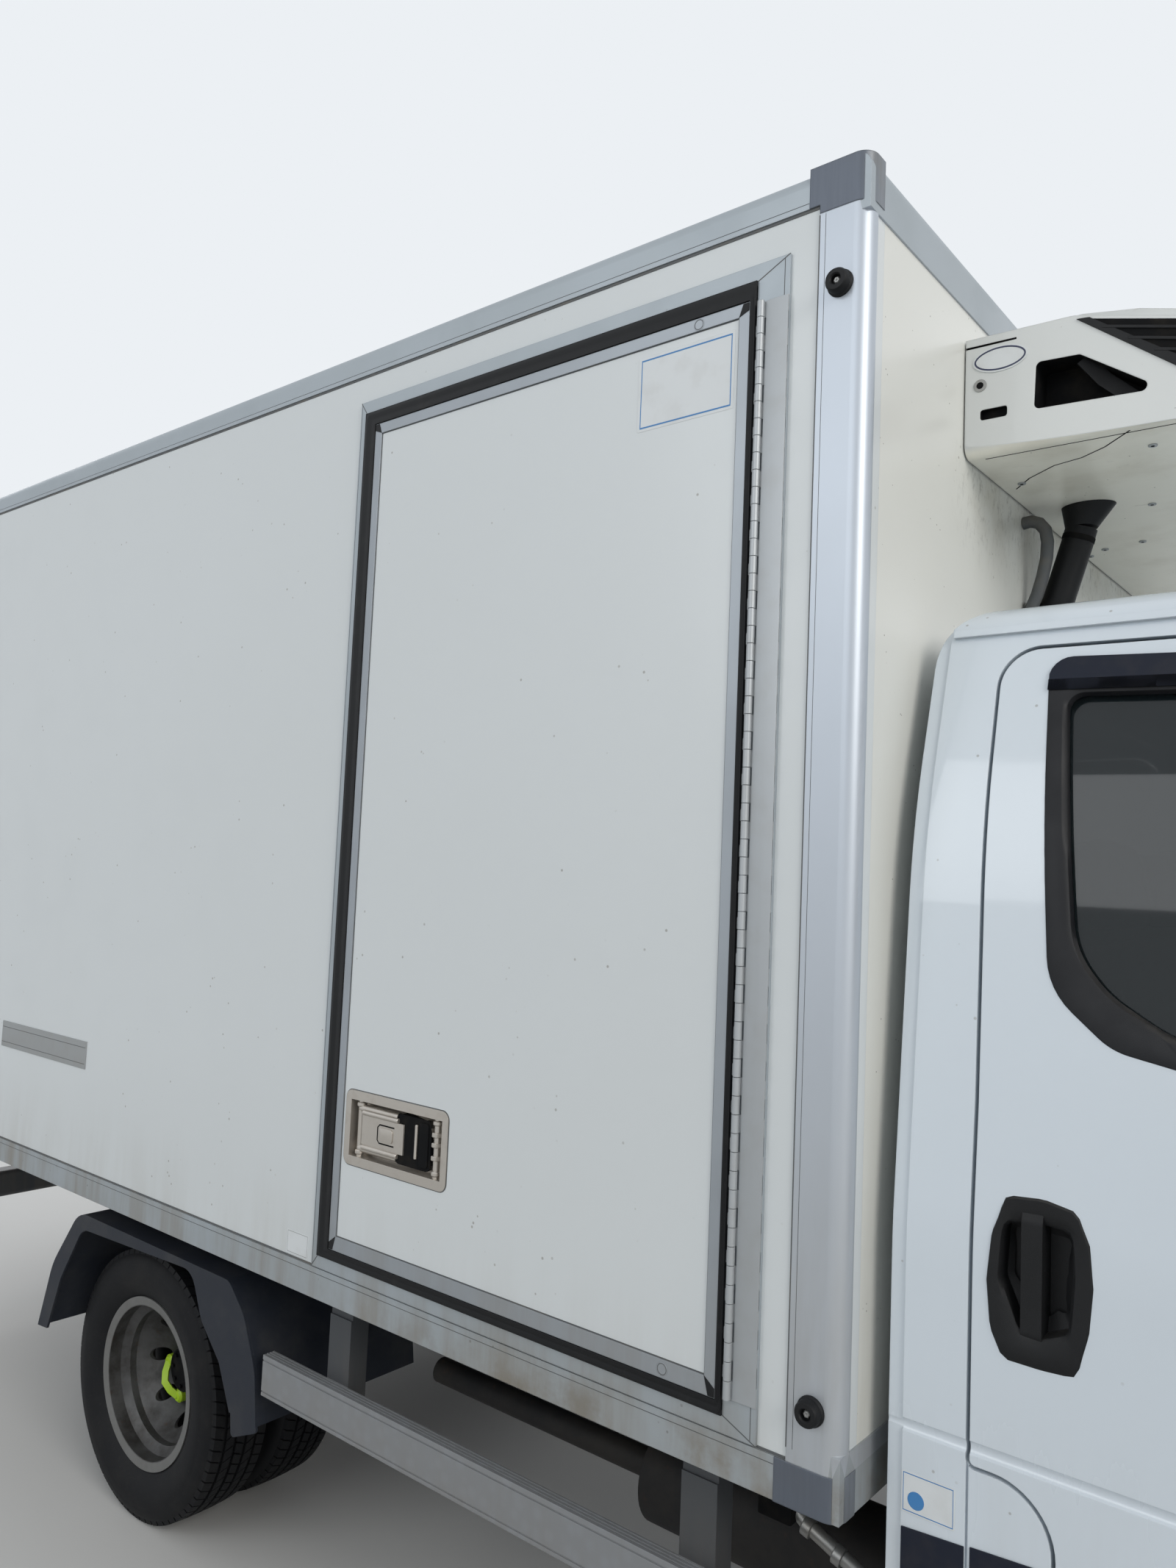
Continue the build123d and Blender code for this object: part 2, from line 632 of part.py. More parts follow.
def make_rear_axle():
    """The beam with its differential and the two brake drums."""
    inner_face = REAR_OUTER_FACE - TYRE_WIDTH / 2 - TWIN_PITCH / 2
    beam = rod((0, -inner_face + 150, 0), (0, inner_face - 150, 0), 50)
    bowl = [(0, -95), (105, -95), (150, -55), (150, 55), (105, 95), (0, 95)]
    housing = revolve(outline(bowl, [0, 30, 40, 40, 30, 0]), axis=Axis.Y)
    beam += housing
    beam += rod((0, 0, 0), (AXLE_NOSE, 0, 0), 55)
    for side in (-1, 1):
        beam += rod((0, side * (inner_face - 185), 0), (0, side * (inner_face - 100), 0), BRAKE_RADIUS)
        beam += rod((0, side * (inner_face - 101), 0), (0, side * (hub_split - 45.3), 0), 48)
    return Pos(REAR_AXLE_X, 0, axle_z) * beam


def make_propshaft():
    rear = [(REAR_AXLE_X + AXLE_NOSE + SEAT, 0, axle_z), (REAR_AXLE_X + AXLE_NOSE + 80, 0, axle_z)]
    front = [(GEARBOX_REAR - 80, 0, GEARBOX_Z), (GEARBOX_REAR - SEAT, 0, GEARBOX_Z)]
    joint = Sphere(SHAFT_RADIUS)
    return (rod(*rear, SHAFT_RADIUS) + rod(rear[1], front[0], SHAFT_RADIUS) + rod(*front, SHAFT_RADIUS)
            + Pos(*rear[1]) * joint + Pos(*front[0]) * joint)


def make_engine():
    """Engine with gearbox, as one plain block of its real size."""
    engine = block((1250, 1900), (-270, 270), (470, 800))
    engine += block((1600, 1900), (-270, 270), (800, 1080))
    return engine + block((GEARBOX_REAR, 1250), (-150, 150), (470, 760))


def make_fuel_tank():
    tank = block((-1180, -330), (RAIL_HALF_GAUGE + 30, RAIL_HALF_GAUGE + 380), (440, 740))
    tank = fillet(tank.edges().filter_by(Axis.X), 60)
    for x in (-1040, -470):
        tank += block((x - 20, x + 20), (RAIL_HALF_GAUGE, RAIL_HALF_GAUGE + 60), (600, 760))
    return tank


def make_exhaust():
    y = -RAIL_HALF_GAUGE - 170
    exhaust = rod((900, -330, 500), (300, y, 500), 30)
    exhaust += rod((300, y, 500), (-1350, y, 500), 30)
    exhaust += rod((0, y, 500), (-650, y, 500), 100)
    for x in (-120, -540):
        exhaust += block((x - 15, x + 15), (y - 15, -RAIL_HALF_GAUGE), (560, 640))
    return exhaust


# Wheels
def make_tyre(y_low):
    """One tyre, with its inner side at y_low, as a ring of rubber."""
    r = TYRE_DIAMETER / 2
    bead = RIM_DIAMETER / 2 + 0.4
    w = TYRE_WIDTH
    inner = [(bead, 34), (bead + 18, 28), (bead + 60, 0), (r - 42, 0), (r - 6, 20), (r, 60)]
    points = inner + [(radius, w - y) for radius, y in reversed(inner)]
    radii = [0, 0, 60, 30, 20, 0, 0, 20, 30, 60, 0, 0]
    ring = revolve(outline(points, radii), axis=Axis.Y)
    return Pos(0, y_low, 0) * ring


rim_seat = RIM_DIAMETER / 2
rim_well = rim_seat - 22


def rim_profile():
    """Half section of a steel wheel's barrel, (radius, y) with y from 0 to the tyre's full width."""
    seat = rim_seat
    flange = RIM_FLANGE / 2
    well = rim_well
    edge = (TYRE_WIDTH - RIM_WIDTH) / 2
    far = TYRE_WIDTH - edge
    t = RIM_WALL
    outside = [(flange, edge - 5), (flange, edge), (seat, edge + 6), (seat, edge + 34), (well, edge + 52),
               (well, far - 46), (seat, far - 30), (seat, far - 6), (flange, far), (flange, far + 5)]
    inside = [(seat - t, far + 1), (seat - t, far - 34), (well - t, far - 50), (well - t, edge + 56),
              (seat - t, edge + 38), (seat - t, edge - 1)]
    return outside + inside


def make_front_rim():
    """A steel wheel with its disc dished outward to the hub face."""
    barrel = revolve(outline(rim_profile()), axis=Axis.Y)
    root = rim_well - RIM_WALL + 3
    hub_y = TYRE_WIDTH - 38
    start_y = TYRE_WIDTH - 82
    t = 9
    disc = [(30, hub_y), (88, hub_y), (root, start_y),
            (root, start_y + t + 4), (96, hub_y + t), (30, hub_y + t)]
    barrel += revolve(outline(disc, [0, 18, 0, 0, 18, 0]), axis=Axis.Y)
    return barrel


def hand_holes(count, radius, at, y):
    holes = None
    for n in range(count):
        angle = 2 * pi * n / count
        x, z = at * cos(angle), at * sin(angle)
        hole = rod((x, y[0], z), (x, y[1], z), radius)
        holes = hole if holes is None else holes + hole
    return holes


front_tyre_y = FRONT_TRACK / 2 - TYRE_WIDTH / 2
rear_outer_y = REAR_OUTER_FACE - TYRE_WIDTH
rear_inner_y = rear_outer_y - TWIN_PITCH
hub_split = rear_inner_y + TYRE_WIDTH / 2 + TWIN_PITCH / 2


def front_wheel_steel():
    rim = Pos(0, front_tyre_y, 0) * make_front_rim()
    rim -= hand_holes(8, 17, 132, (front_tyre_y, front_tyre_y + TYRE_WIDTH + 40))
    hub = rod((0, front_tyre_y + 60, 0), (0, front_tyre_y + TYRE_WIDTH - 16, 0), 45)
    return Pos(front_axle_x, 0, axle_z) * (rim + hub)


def twin_rims():
    """Both rims, back to back on one hub."""
    single = revolve(outline(rim_profile()), axis=Axis.Y)
    root = rim_well - RIM_WALL + 3
    t = 10
    outer_mid = rear_outer_y + TYRE_WIDTH / 2 - 8
    inner_mid = rear_inner_y + TYRE_WIDTH / 2 + 8
    cone = [(30, hub_split), (92, hub_split), (root, outer_mid), (root, outer_mid + t + 3),
            (98, hub_split + t), (30, hub_split + t)]
    back = [(r, 2 * hub_split - y) for r, y in cone]
    rims = Pos(0, rear_outer_y, 0) * single + Pos(0, rear_inner_y, 0) * single
    rims += revolve(outline(cone, [0, 20, 0, 0, 20, 0]), axis=Axis.Y)
    rims += revolve(outline(back, [0, 20, 0, 0, 20, 0]), axis=Axis.Y)
    rims -= hand_holes(8, 18, 135, (inner_mid - 40, outer_mid + 60))
    rims += rod((0, hub_split - 45, 0), (0, hub_split + 75, 0), 55)
    return Pos(REAR_AXLE_X, 0, axle_z) * rims


def front_tyre():
    return Pos(front_axle_x, 0, axle_z) * make_tyre(front_tyre_y)


def twin_tyres():
    pair = Compound([make_tyre(rear_outer_y), make_tyre(rear_inner_y)])
    return Pos(REAR_AXLE_X, 0, axle_z) * pair


kingpin_y = FRONT_TRACK / 2 - KINGPIN_INSET
arm_gap = (axle_z - 96, axle_z + 116)


def knuckle():
    """The upright with its kingpin, stub axle, brake disc and steering arm."""
    x = front_axle_x
    low, high = arm_gap
    upright = block((x - 40, x + 40), (kingpin_y - 28, kingpin_y + 28), (low + SEAT, high - SEAT))
    upright = fillet(upright.edges().filter_by(Axis.Z), 15)
    upright += rod((x, kingpin_y, low - ARM_THICK), (x, kingpin_y, high + ARM_THICK), KINGPIN_RADIUS)
    upright += rod((x, kingpin_y, axle_z), (x, front_tyre_y + 60 - SEAT, axle_z), 42)
    upright += rod((x, kingpin_y + 40, axle_z), (x, kingpin_y + 60, axle_z), 140)
    upright += block((x - 190, x - 20), (kingpin_y - 28, kingpin_y + 12), (axle_z - 60, axle_z - 30))
    return upright


def make_front_suspension():
    """A cross member under the rails, with two arms to each upright, bored for its kingpin."""
    x = front_axle_x
    root = RAIL_HALF_GAUGE - 60
    post_y = (root, RAIL_HALF_GAUGE - 5)
    low, high = arm_gap
    member = block((x - 70, x + 70), (-root - 20, root + 20), (axle_z - 60, axle_z + 40))
    arm = [(x - 130, root), (x + 130, root), (x + 30, kingpin_y + 25), (x - 30, kingpin_y + 25)]
    for span in ((low - ARM_THICK, low), (high, high + ARM_THICK)):
        member += both(plan_prism(arm, span, [0, 0, 20, 20]))
    for z in ((low, axle_z - 60), (axle_z + 40, RAIL_TOP - RAIL_HEIGHT)):
        member += both(block((x - 70, x + 70), post_y, z))
    member += both(block((x - 130, x + 130), post_y, (low - ARM_THICK, axle_z - 60)))
    past = 2 * ARM_THICK
    bore = rod((x, kingpin_y, low - past), (x, kingpin_y, high + past), KINGPIN_RADIUS + SEAT)
    return member - both(bore)


# Cab
def cab_section(inset):
    """Half section across the cab, (y, z), with the sides leaning in above the waist."""
    w = CAB_HALF_WIDTH - inset
    side = [(w, 300), (w, 1260), (958 - inset, 1880), (850 - inset, 2262 - inset)]
    points = side + [(0, 2294 - inset)] + [(-y, z) for y, z in reversed(side)]
    crown = 90 - min(inset, 40)
    radii = [0, 1200, 1200, crown, 6000, crown, 1200, 1200, 0]
    return cross_prism(points, (CAB_REAR - 10, 2000), radii)


def cab_profile(inset):
    """Side view of the passenger space: back, roof, windscreen and the bonnet's root."""
    i = inset
    back = CAB_REAR + (i * 0.75)
    front = 1650 - 1.25 * i
    points = [(back, 300), (back, 2262 - i), (1000, 2300 - i), (front, 1420), (front, 300)]
    return side_prism(points, (-1100, 1100), [0, 110 - min(i, 60), 190, 60, 0])


bonnet_slope = (560, 0, -285)


def nose_section(inset):
    """The bonnet and wings, drawn out down the slope of the bonnet."""
    i = inset
    w = CAB_HALF_WIDTH - i + 12
    side = [(w, -600), (w, 1290), (840 - i, 1410 - i)]
    points = side + [(0, 1448 - i)] + [(-y, z) for y, z in reversed(side)]
    radii = [0, 150, 220, 5000, 220, 150, 0]
    face = Plane.YZ * outline(points, radii)
    length = hypot(bonnet_slope[0], bonnet_slope[2]) * 1.5
    return Pos(1560, 0, 42) * extrude(face, amount=length, dir=bonnet_slope)


def nose_plan(inset, z, reach=0):
    """Plan view of the front, rounded at the corners and a little crowned."""
    w = CAB_HALF_WIDTH - inset + reach
    lean = atan2(NOSE_CROWN, w)
    tip = NOSE_X - inset + reach + NOSE_CROWN_RADIUS * (1 / cos(lean) - 1)
    points = [(1000, -w), (tip - NOSE_CROWN, -w), (tip, 0), (tip - NOSE_CROWN, w), (1000, w)]
    return plan_prism(points, z, [0, 430, NOSE_CROWN_RADIUS, 430, 0])


def nose_profile(inset):
    """Side view of the nose: an upright grille below a rounded bonnet edge."""
    i = inset
    brow = 2240 - i
    points = [(1560, 300), (1560, 1600), (brow, 1600), (brow, 1130), (NOSE_X - i, 960), (NOSE_X - i, 300)]
    return side_prism(points, (-1100, 1100), [0, 0, 0, 200, 120, 0])


def cab_form(inset):
    """The outer surface of cab and nose, moved in by inset."""
    body = cab_section(inset) & cab_profile(inset)
    nose = nose_section(inset) & nose_plan(inset, (200, 1600)) & nose_profile(inset)
    return body + nose


def cab_space():
    """The room inside the walls, as far as the cowl."""
    body = cab_section(CAB_WALL) & cab_profile(CAB_WALL)
    side = CAB_HALF_WIDTH - CAB_WALL
    return body + (nose_section(CAB_WALL) & block((FIRE_WALL_X, 1800), (-side, side), (200, 1600)))


door_front_x = 1240
door_pin_x = door_front_x + 5
door_pin_y = CAB_HALF_WIDTH + 2
pillar_foot = (1500, 1425)
pillar_head = (930, 2165)


def door_outline(grow=0):
    """Side view of the cab door."""
    g = grow
    slope = (pillar_foot[0] - pillar_head[0]) / (pillar_head[1] - pillar_foot[1])
    knee_z = pillar_foot[1] + (pillar_foot[0] - door_front_x) / slope
    front = door_front_x + g * 4 / 3
    head_x, head_z = pillar_head
    return [(283 - g, 640 - g), (front, 640 - g), (front, knee_z + g * 0.5), (head_x + g, head_z + g),
            (148 - g, head_z + 10 + g), (160 - g, 1465), (160 - g, 943 - g), (283 - g, 943 - g)]


# Corner radii of the door's outline, the last of them for its hollow corner over the step
door_radii = [0, 0, 60, 60, 60, 300, 8, -90]
window_points = [(262, 1640), (350, 1572), (460, 1552), (1180, 1472),
                 (1180, 1690), (893, 2098), (232, 2122)]
window_radii = [90, 60, 200, 50, 60, 60, 60]


def arch_cylinder(radius, y):
    return rod((front_axle_x, y[0], axle_z), (front_axle_x, y[1], axle_z), radius)


def swage():
    """The shallow groove that runs along each side below the door handle."""
    radius, depth = CAB_SWAGE
    y = CAB_HALF_WIDTH + radius - depth
    return both(rod((CAB_REAR - 20, y, CAB_SWAGE_Z), (1900, y, CAB_SWAGE_Z), radius))


def rear_rebate():
    """A step round the cab's rear edge."""
    width, depth = CAB_REAR_FLANGE
    return (cab_section(-1) - cab_section(depth)) & block((0, CAB_REAR + width), (-1200, 1200), (0, 2400))


full_form = cab_form(0) - swage() - rear_rebate()
inner_form = cab_space()
bonnet_rear = 1668
# (x, half width) of the bonnet; it runs straight at both ends, where the lid moves forward as it lifts
bonnet_edge = [(bonnet_rear, 810), (bonnet_rear + 62, 810), (2140, 735), (2330, 735)]


def bonnet_zone(gap):
    """The room that the bonnet takes, seen from above and from the side."""
    (rear_x, rear_y), *rest = bonnet_edge
    left = [(rear_x - gap, rear_y + gap)] + [(x, y + gap) for x, y in rest]
    zone = plan_prism(left + [(x, -y) for x, y in reversed(left)], (900, 1600))
    return zone & side_prism([(1600, 1250), (2400, 1010 - gap), (2400, 1600), (1600, 1600)], (-1000, 1000))


def door_zone(gap):
    radii = [abs(r) + (gap if r > 0 else -gap) if r else 0 for r in door_radii]
    zone = side_prism(door_outline(gap), (700, 1200), radii)
    return zone - arch_cylinder(ARCH_RADIUS + ARCH_FLANGE - gap, (600, 1300))


def windscreen_zone(grow=0):
    """The windscreen's opening, seen from the front."""
    g = grow
    points = [(-760 - g, 1490 - g), (760 + g, 1490 - g), (690 + g, 2180 + g), (-690 - g, 2180 + g)]
    return cross_prism(points, (960, 1700), [60, 60, 70, 70])


def make_cab_shell():
    """Back, roof, pillars, sills and the wall in front of the feet."""
    wall = full_form - inner_form
    across = (-1200, 1200)
    fire_wall = inner_form & block((FIRE_WALL_X, FIRE_WALL_X + 40), across, (CAB_FLOOR[1], 1400))
    shell = (wall & block((0, 1600), across, (CAB_BOTTOM, 2400))) + fire_wall
    shell += wall & block((1590, bonnet_rear - CAB_DOOR_GAP), across, (1330, 1600))
    shell += (cab_section(-GUTTER_PROUD) - inner_form) & block((CAB_REAR + 30, 880), across, GUTTER_Z)
    shell -= block((0, 1700), (-CAB_HALF_WIDTH + 125, CAB_HALF_WIDTH - 125), (0, CAB_FLOOR[0]))
    shell -= both(block((155, 159), (CAB_HALF_WIDTH - 6, CAB_HALF_WIDTH + 20), (CAB_BOTTOM - 1, 945)))
    shell -= arch_cylinder(ARCH_RADIUS, (-1300, 1300))
    shell -= both(door_zone(CAB_DOOR_GAP))
    shell -= windscreen_zone()
    wing_zone = block((door_front_x + 8, 1700), (700, 1300), (0, 1330))
    shell -= both(wing_zone)
    shell -= both(bonnet_notch())
    x, z = bonnet_pin
    return shell + both(rod((x, bonnet_pin_y - 23, z), (x, bonnet_pin_y + 23, z), 6))


def make_front_wings():
    """The two wings, from the doors to the lamps."""
    thin = cab_form(25)
    skin = full_form - thin
    wing = skin & block((door_front_x + 8, 2400), (-1200, 1200), (BUMPER_Z[1] + 5, 1600))
    foot_z = (CAB_BOTTOM + 200, BUMPER_Z[1] + 6)
    wing += skin & block((door_front_x + 8, front_axle_x + 300), (-1200, 1200), foot_z)
    wing -= block((0, 1662), (-1200, 1200), (1330, 1700))
    wing -= bonnet_zone(CAB_DOOR_GAP)
    wing -= arch_cylinder(ARCH_RADIUS, (-1300, 1300))
    wing -= block((1600, 2400), (-470, 470), (300, 1600))
    wing -= lamp_zone(1.0) + mirrored(lamp_zone(1.0))
    return wing


def lamp_zone(gap):
    points = [(475 - gap, 790 - gap), (900 + gap, 800 - gap), (900 + gap, 1015 + gap),
              (640, 1000 + gap), (475 - gap, 920 + gap)]
    return cross_prism(points, (1900, 2400), [20, 40, 30, 40, 20])


def make_headlamps():
    lamp = (cab_form(1) - cab_form(40)) & lamp_zone(0)
    return both(lamp)


def make_grille():
    """An open frame with level bars between the lamps."""
    form = cab_form(4) - cab_form(40)
    grille = form & block((2100, 2400), (-470 + SEAT, 470 - SEAT), (740, 1000))
    for z in range(765, 980, 45):
        grille -= block((2000, 2400), (-440, 440), (z, z + 27))
    return grille


def make_front_bumper():
    z = BUMPER_Z
    outer = nose_plan(0, z, BUMPER_X - NOSE_X)
    inner = nose_plan(BUMPER_WALL, grown(z, 1), BUMPER_X - NOSE_X)
    bumper = (outer - inner) & block((front_axle_x + ARCH_RADIUS + 10, 2400), (-1200, 1200), z)
    bumper -= arch_cylinder(ARCH_RADIUS + 15, (-1300, 1300))
    bumper -= block((2200, 2400), (-400, 400), (z[0] + 90, z[0] + 210))
    return bumper


bonnet_pin_y = 560
bonnet_pin = (1625, 1428)


def make_bonnet():
    """The lid, with an arm at each side that reaches back into the cowl and turns on a pin there.
    The pin lies behind and above the lid's rear edge, so that the edge rises clear of the cowl."""
    x, z = bonnet_pin
    lid = (full_form - cab_form(28)) & bonnet_zone(0)
    across = (bonnet_pin_y - 15, bonnet_pin_y + 15)
    arm = side_prism([(x - 5, z - 10), (bonnet_rear + 20, z - 50), (bonnet_rear + 28, z - 42),
                      (bonnet_rear + 4, z - 24), (x + 5, z + 8)], across)
    arm += rod((x, across[0], z), (x, across[1], z), 11)
    arm -= rod((x, across[0] - 5, z), (x, across[1] + 5, z), 6 + SEAT)
    return lid + both(arm)


def bonnet_notch():
    """The room for one arm in the cowl."""
    x, z = bonnet_pin
    return block((x - 18, bonnet_rear + 4), (bonnet_pin_y - 22, bonnet_pin_y + 22), (z - 62, z + 80))


def make_windscreen():
    return (cab_form(4) - cab_form(4 + GLASS)) & windscreen_zone(-0.5)


# Outline of the door handle's cup, (x, z)
handle_cup = [(207, 1334), (259, 1339), (305, 1331), (322, 1290), (327, 1235), (322, 1175), (307, 1115),
              (261, 1111), (208, 1112), (190, 1150), (183, 1214), (189, 1280)]


def door_handle():
    """The upright grip that stands in its cup."""
    out = CAB_HALF_WIDTH - 1
    low, high = 1120, 1332
    root = out - HANDLE_DEPTH - 6
    grip = [(root, low), (out - 8, low), (out, low + 30), (out, high - 25), (out - 8, high), (root, high)]
    return cross_prism(grip, HANDLE_GRIP_X, [0, 12, 20, 20, 12, 0])


def cab_door():
    """The left door: both skins as one wall, with the window cut, the handle's cup and the mirror."""
    door = (full_form - inner_form) & door_zone(0)
    window = side_prism(window_points, (600, 1300), window_radii)
    door -= window
    cup = side_prism(handle_cup, (CAB_HALF_WIDTH - HANDLE_DEPTH, CAB_HALF_WIDTH + 20), 14)
    door = door - cup + door_handle()
    arm_x = door_front_x - 28
    for z in (1500, 1700):
        door += rod((arm_x, 930, z), (arm_x, CAB_HALF_WIDTH + 120, z), 12)
    head = block((door_pin_x - 60, door_pin_x + 20), (CAB_HALF_WIDTH + 105, CAB_HALF_WIDTH + MIRROR_REACH),
                 (1440, 1790))
    head = fillet(head.edges().filter_by(Axis.Y), 30)
    door += head
    return door


def door_glass():
    window = side_prism(window_points, (600, 1300), window_radii)
    return (cab_form(20) - cab_form(20 + GLASS)) & window


def make_cab_floor():
    """The floor pan, raised over the engine, with the step wells outside it."""
    floor = inner_form & block((CAB_REAR + 46, 1560), (-1000, 1000), CAB_FLOOR)
    hump = block((1180, 1560), (-330, 330), (CAB_FLOOR[1] - 1, 1100))
    floor -= block((1210, 1700), (-300, 300), (700, 1070))
    return floor + (hump - block((1210, 1700), (-300, 300), (700, 1070)))


def make_seats():
    """A driver's seat on the left and a double bench beside it."""
    solids = []
    for y in ((330, 850), (-850, 130)):
        seat = block((330, 860), y, (CAB_FLOOR[1], 1120))
        seat += block((300, 860), y, (1120, 1250))
        back = side_prism([(300, 1250), (420, 1250), (290, 1880), (170, 1880)], y, [0, 0, 50, 50])
        seat += back
        solids.append(seat)
    return Compound(solids)


def make_dashboard():
    back = FIRE_WALL_X - SEAT
    shape = [(1330, 1130), (back, 1110), (back, 1385), (1500, 1430), (1370, 1400)]
    dash = side_prism(shape, (-925, 925), [60, 0, 0, 30, 60])
    return dash + rod(on_column(75 + SEAT), on_column(250), 38)


steering_centre = (1160, 560, 1350)
steering_tilt = 50


def on_column(distance):
    """A point on the steering column, so far below the wheel's middle."""
    x, y, z = steering_centre
    return (x + distance * sin(radians(steering_tilt)), y, z - distance * cos(radians(steering_tilt)))


def make_steering_wheel():
    ring = Torus(200, 14)
    spokes = None
    for n in range(3):
        spoke = Rot(0, 0, 90 + 120 * n) * block((20, 200), (-14, 14), (-10, 6))
        spokes = spoke if spokes is None else spokes + spoke
    hub = Pos(0, 0, -10) * Cylinder(55, 40)
    column = Pos(0, 0, -50) * Cylinder(22, 50)
    wheel = ring + spokes + hub + column
    return Pos(*steering_centre) * Rot(0, -steering_tilt, 0) * wheel


# Outer gear
guard_z = (551, 641)


def make_side_guards():
    """A ribbed rail each side, on two posts that hang from the box."""
    rail = block((-1462, -60), (half - 60, half - 30), guard_z)
    for y in (half - 54, half - 46, half - 38):
        rail -= block((-1463, -59), (y - 1.5, y + 1.5), (guard_z[1] - 2, guard_z[1] + 1))
    for z in (guard_z[0] + 9, guard_z[1] - 12):
        rail -= block((-1463, -59), (half - 32, half - 29), (z - 1.5, z + 1.5))
    for x in (-1230, -283):
        rail += block((x - 36, x + 36), (half - 110, half - 60), (guard_z[0], BOX_BOTTOM - BEARER[1]))
        rail += block((x - 36, x + 36), (half - 150, half - 64), (BOX_BOTTOM - BEARER[1] - 6, BOX_BOTTOM))
    return both(rail)


def make_mudguards():
    """A strip bent over each pair of rear wheels, in three lengths on two stays, with a plate at its side."""
    out = half - 40
    plate = (out - 6, out)
    outer = [(-1489, 466), (-1505, 585), (-1562, 700), (-1630, 762),
             (-2370, 762), (-2500, 590), (-2561, 400)]
    inner = [(-2553, 398), (-2492, 586), (-2366, 754),
             (-1633, 754), (-1569, 695), (-1513, 583), (-1497, 466)]
    radii = [0, 120, 120, 40, 90, 200, 0, 0, 192, 82, 32, 112, 112, 0]
    strip = side_prism(outer + inner, (570, plate[0] - SEAT), radii)
    guard = None
    for x in ((-2600, -2320 - SEAT), (-2320, -1650), (-1650 + SEAT, -1450)):
        length = strip & block(x, (500, out), (300, 800))
        guard = length if guard is None else guard + length
    for x in (-2300, -1700):
        guard += block((x - 10, x + 10), (RAIL_HALF_GAUGE, 600), (754, 774))
    rear_edge = [(-2506, 405), (-2448, 560), (-2345, 720)]
    front_edge = [(-1790, 745), (-1736, 640), (-1650, 565), (-1596, 466)]
    lip = outer + rear_edge + front_edge
    guard += side_prism(lip, plate, [0, 120, 120, 40, 90, 200, 0, 0, 160, 60, 60, 90, 40, 0])
    foot = [(-1590, 467), (-1583, 412), (-1483, 455), (-1489, 467)]
    guard += side_prism(foot, plate, [0, 10, 10, 0])
    return both(guard)


def make_underrun_bar():
    """The beam under the box's rear edge, hung from the rails, with the bolt holes of a tow jaw."""
    x = (-BOX_LENGTH + 60, -BOX_LENGTH + 140)
    bar = block(x, (-1000, 1000), (TOW_Z - 50, TOW_Z + 50))
    bar = fillet(bar.edges().filter_by(Axis.Y), 15)
    for side in (-1, 1):
        y = side * (RAIL_HALF_GAUGE + 20)
        bar += block(grown(x, -10), (y - 20, y + 20), (TOW_Z + 50, RAIL_TOP - 20))
        for z in (TOW_Z - TOW_PITCH[1] / 2, TOW_Z + TOW_PITCH[1] / 2):
            y = side * TOW_PITCH[0] / 2
            bar -= rod((x[0] - 10, y, z), (x[1] + 10, y, z), TOW_HOLE_RADIUS)
    return bar


def make_rear_lamps():
    """A lamp each side on an arm from the beam's upright."""
    face = -BOX_LENGTH + 15
    lamps = block((face, face + 40), (600, 1000), (640, 760))
    lamps = fillet(lamps.edges().filter_by(Axis.X), 15)
    lamps += block((face + 35, face + 75), (RAIL_HALF_GAUGE + 40 + SEAT, 1000), (680, 720))
    return both(lamps)


def pieces():
    """Node name and solid, in the order that they are written."""
    upright = knuckle()
    tyre = front_tyre()
    front_rim = front_wheel_steel()
    tyres = twin_tyres()
    rims = twin_rims()
    door = cab_door()
    glass = door_glass()
    rear_leaf = rear_door()
    return {
        "chassis_frame": make_chassis_frame(),
        "front_suspension": make_front_suspension(),
        "leaf_springs": make_leaf_springs(),
        "rear_axle": make_rear_axle(),
        "propshaft": make_propshaft(),
        "engine_block": make_engine(),
        "fuel_tank": make_fuel_tank(),
        "exhaust": make_exhaust(),
        "knuckle_left": upright,
        "knuckle_right": mirrored(upright),
        "front_tyre_left": tyre,
        "front_tyre_right": mirrored(tyre),
        "front_rim_left": front_rim,
        "front_rim_right": mirrored(front_rim),
        "rear_tyres_left": tyres,
        "rear_tyres_right": mirrored(tyres),
        "rear_rims_left": rims,
        "rear_rims_right": mirrored(rims),
        "cab_shell": make_cab_shell(),
        "cab_floor": make_cab_floor(),
        "front_wings": make_front_wings(),
        "front_bumper": make_front_bumper(),
        "front_grille": make_grille(),
        "headlamps": make_headlamps(),
        "bonnet": make_bonnet(),
        "windscreen": make_windscreen(),
        "cab_door_left": door,
        "cab_door_right": mirrored(door),
        "cab_door_glass_left": glass,
        "cab_door_glass_right": mirrored(glass),
        "seats": make_seats(),
        "dashboard": make_dashboard(),
        "steering_wheel": make_steering_wheel(),
        "box_floor": make_box_floor(),
        "box_side_left": side_panel(),
        "box_side_right": make_side_right(),
        "box_front_wall": make_front_wall(),
        "box_roof": make_box_roof(),
        "box_edge_rails": make_edge_rails(),
        "box_corner_castings": make_castings(),
        "rear_frame": make_rear_frame(),
        "rear_door_left": rear_leaf,
        "rear_door_right": mirrored(rear_leaf),
        "side_door_frame": make_side_door_frame(),
        "side_door": make_side_door(),
        "side_door_latch": make_side_door_latch(),
        "door_buffers": make_door_buffers(),
        "unit_housing": make_unit_housing(),
        "unit_grille": make_unit_grille(),
        "unit_hose": make_unit_hose(),
        "evaporator": make_evaporator(),
        "side_guards": make_side_guards(),
        "rear_mudguards": make_mudguards(),
        "underrun_bar": make_underrun_bar(),
        "rear_lamps": make_rear_lamps(),
    }


os.makedirs("parts", exist_ok=True)
for name, shape in pieces().items():
    export_step(Pos(-origin_x, 0, 0) * shape, "parts/" + name + ".step")
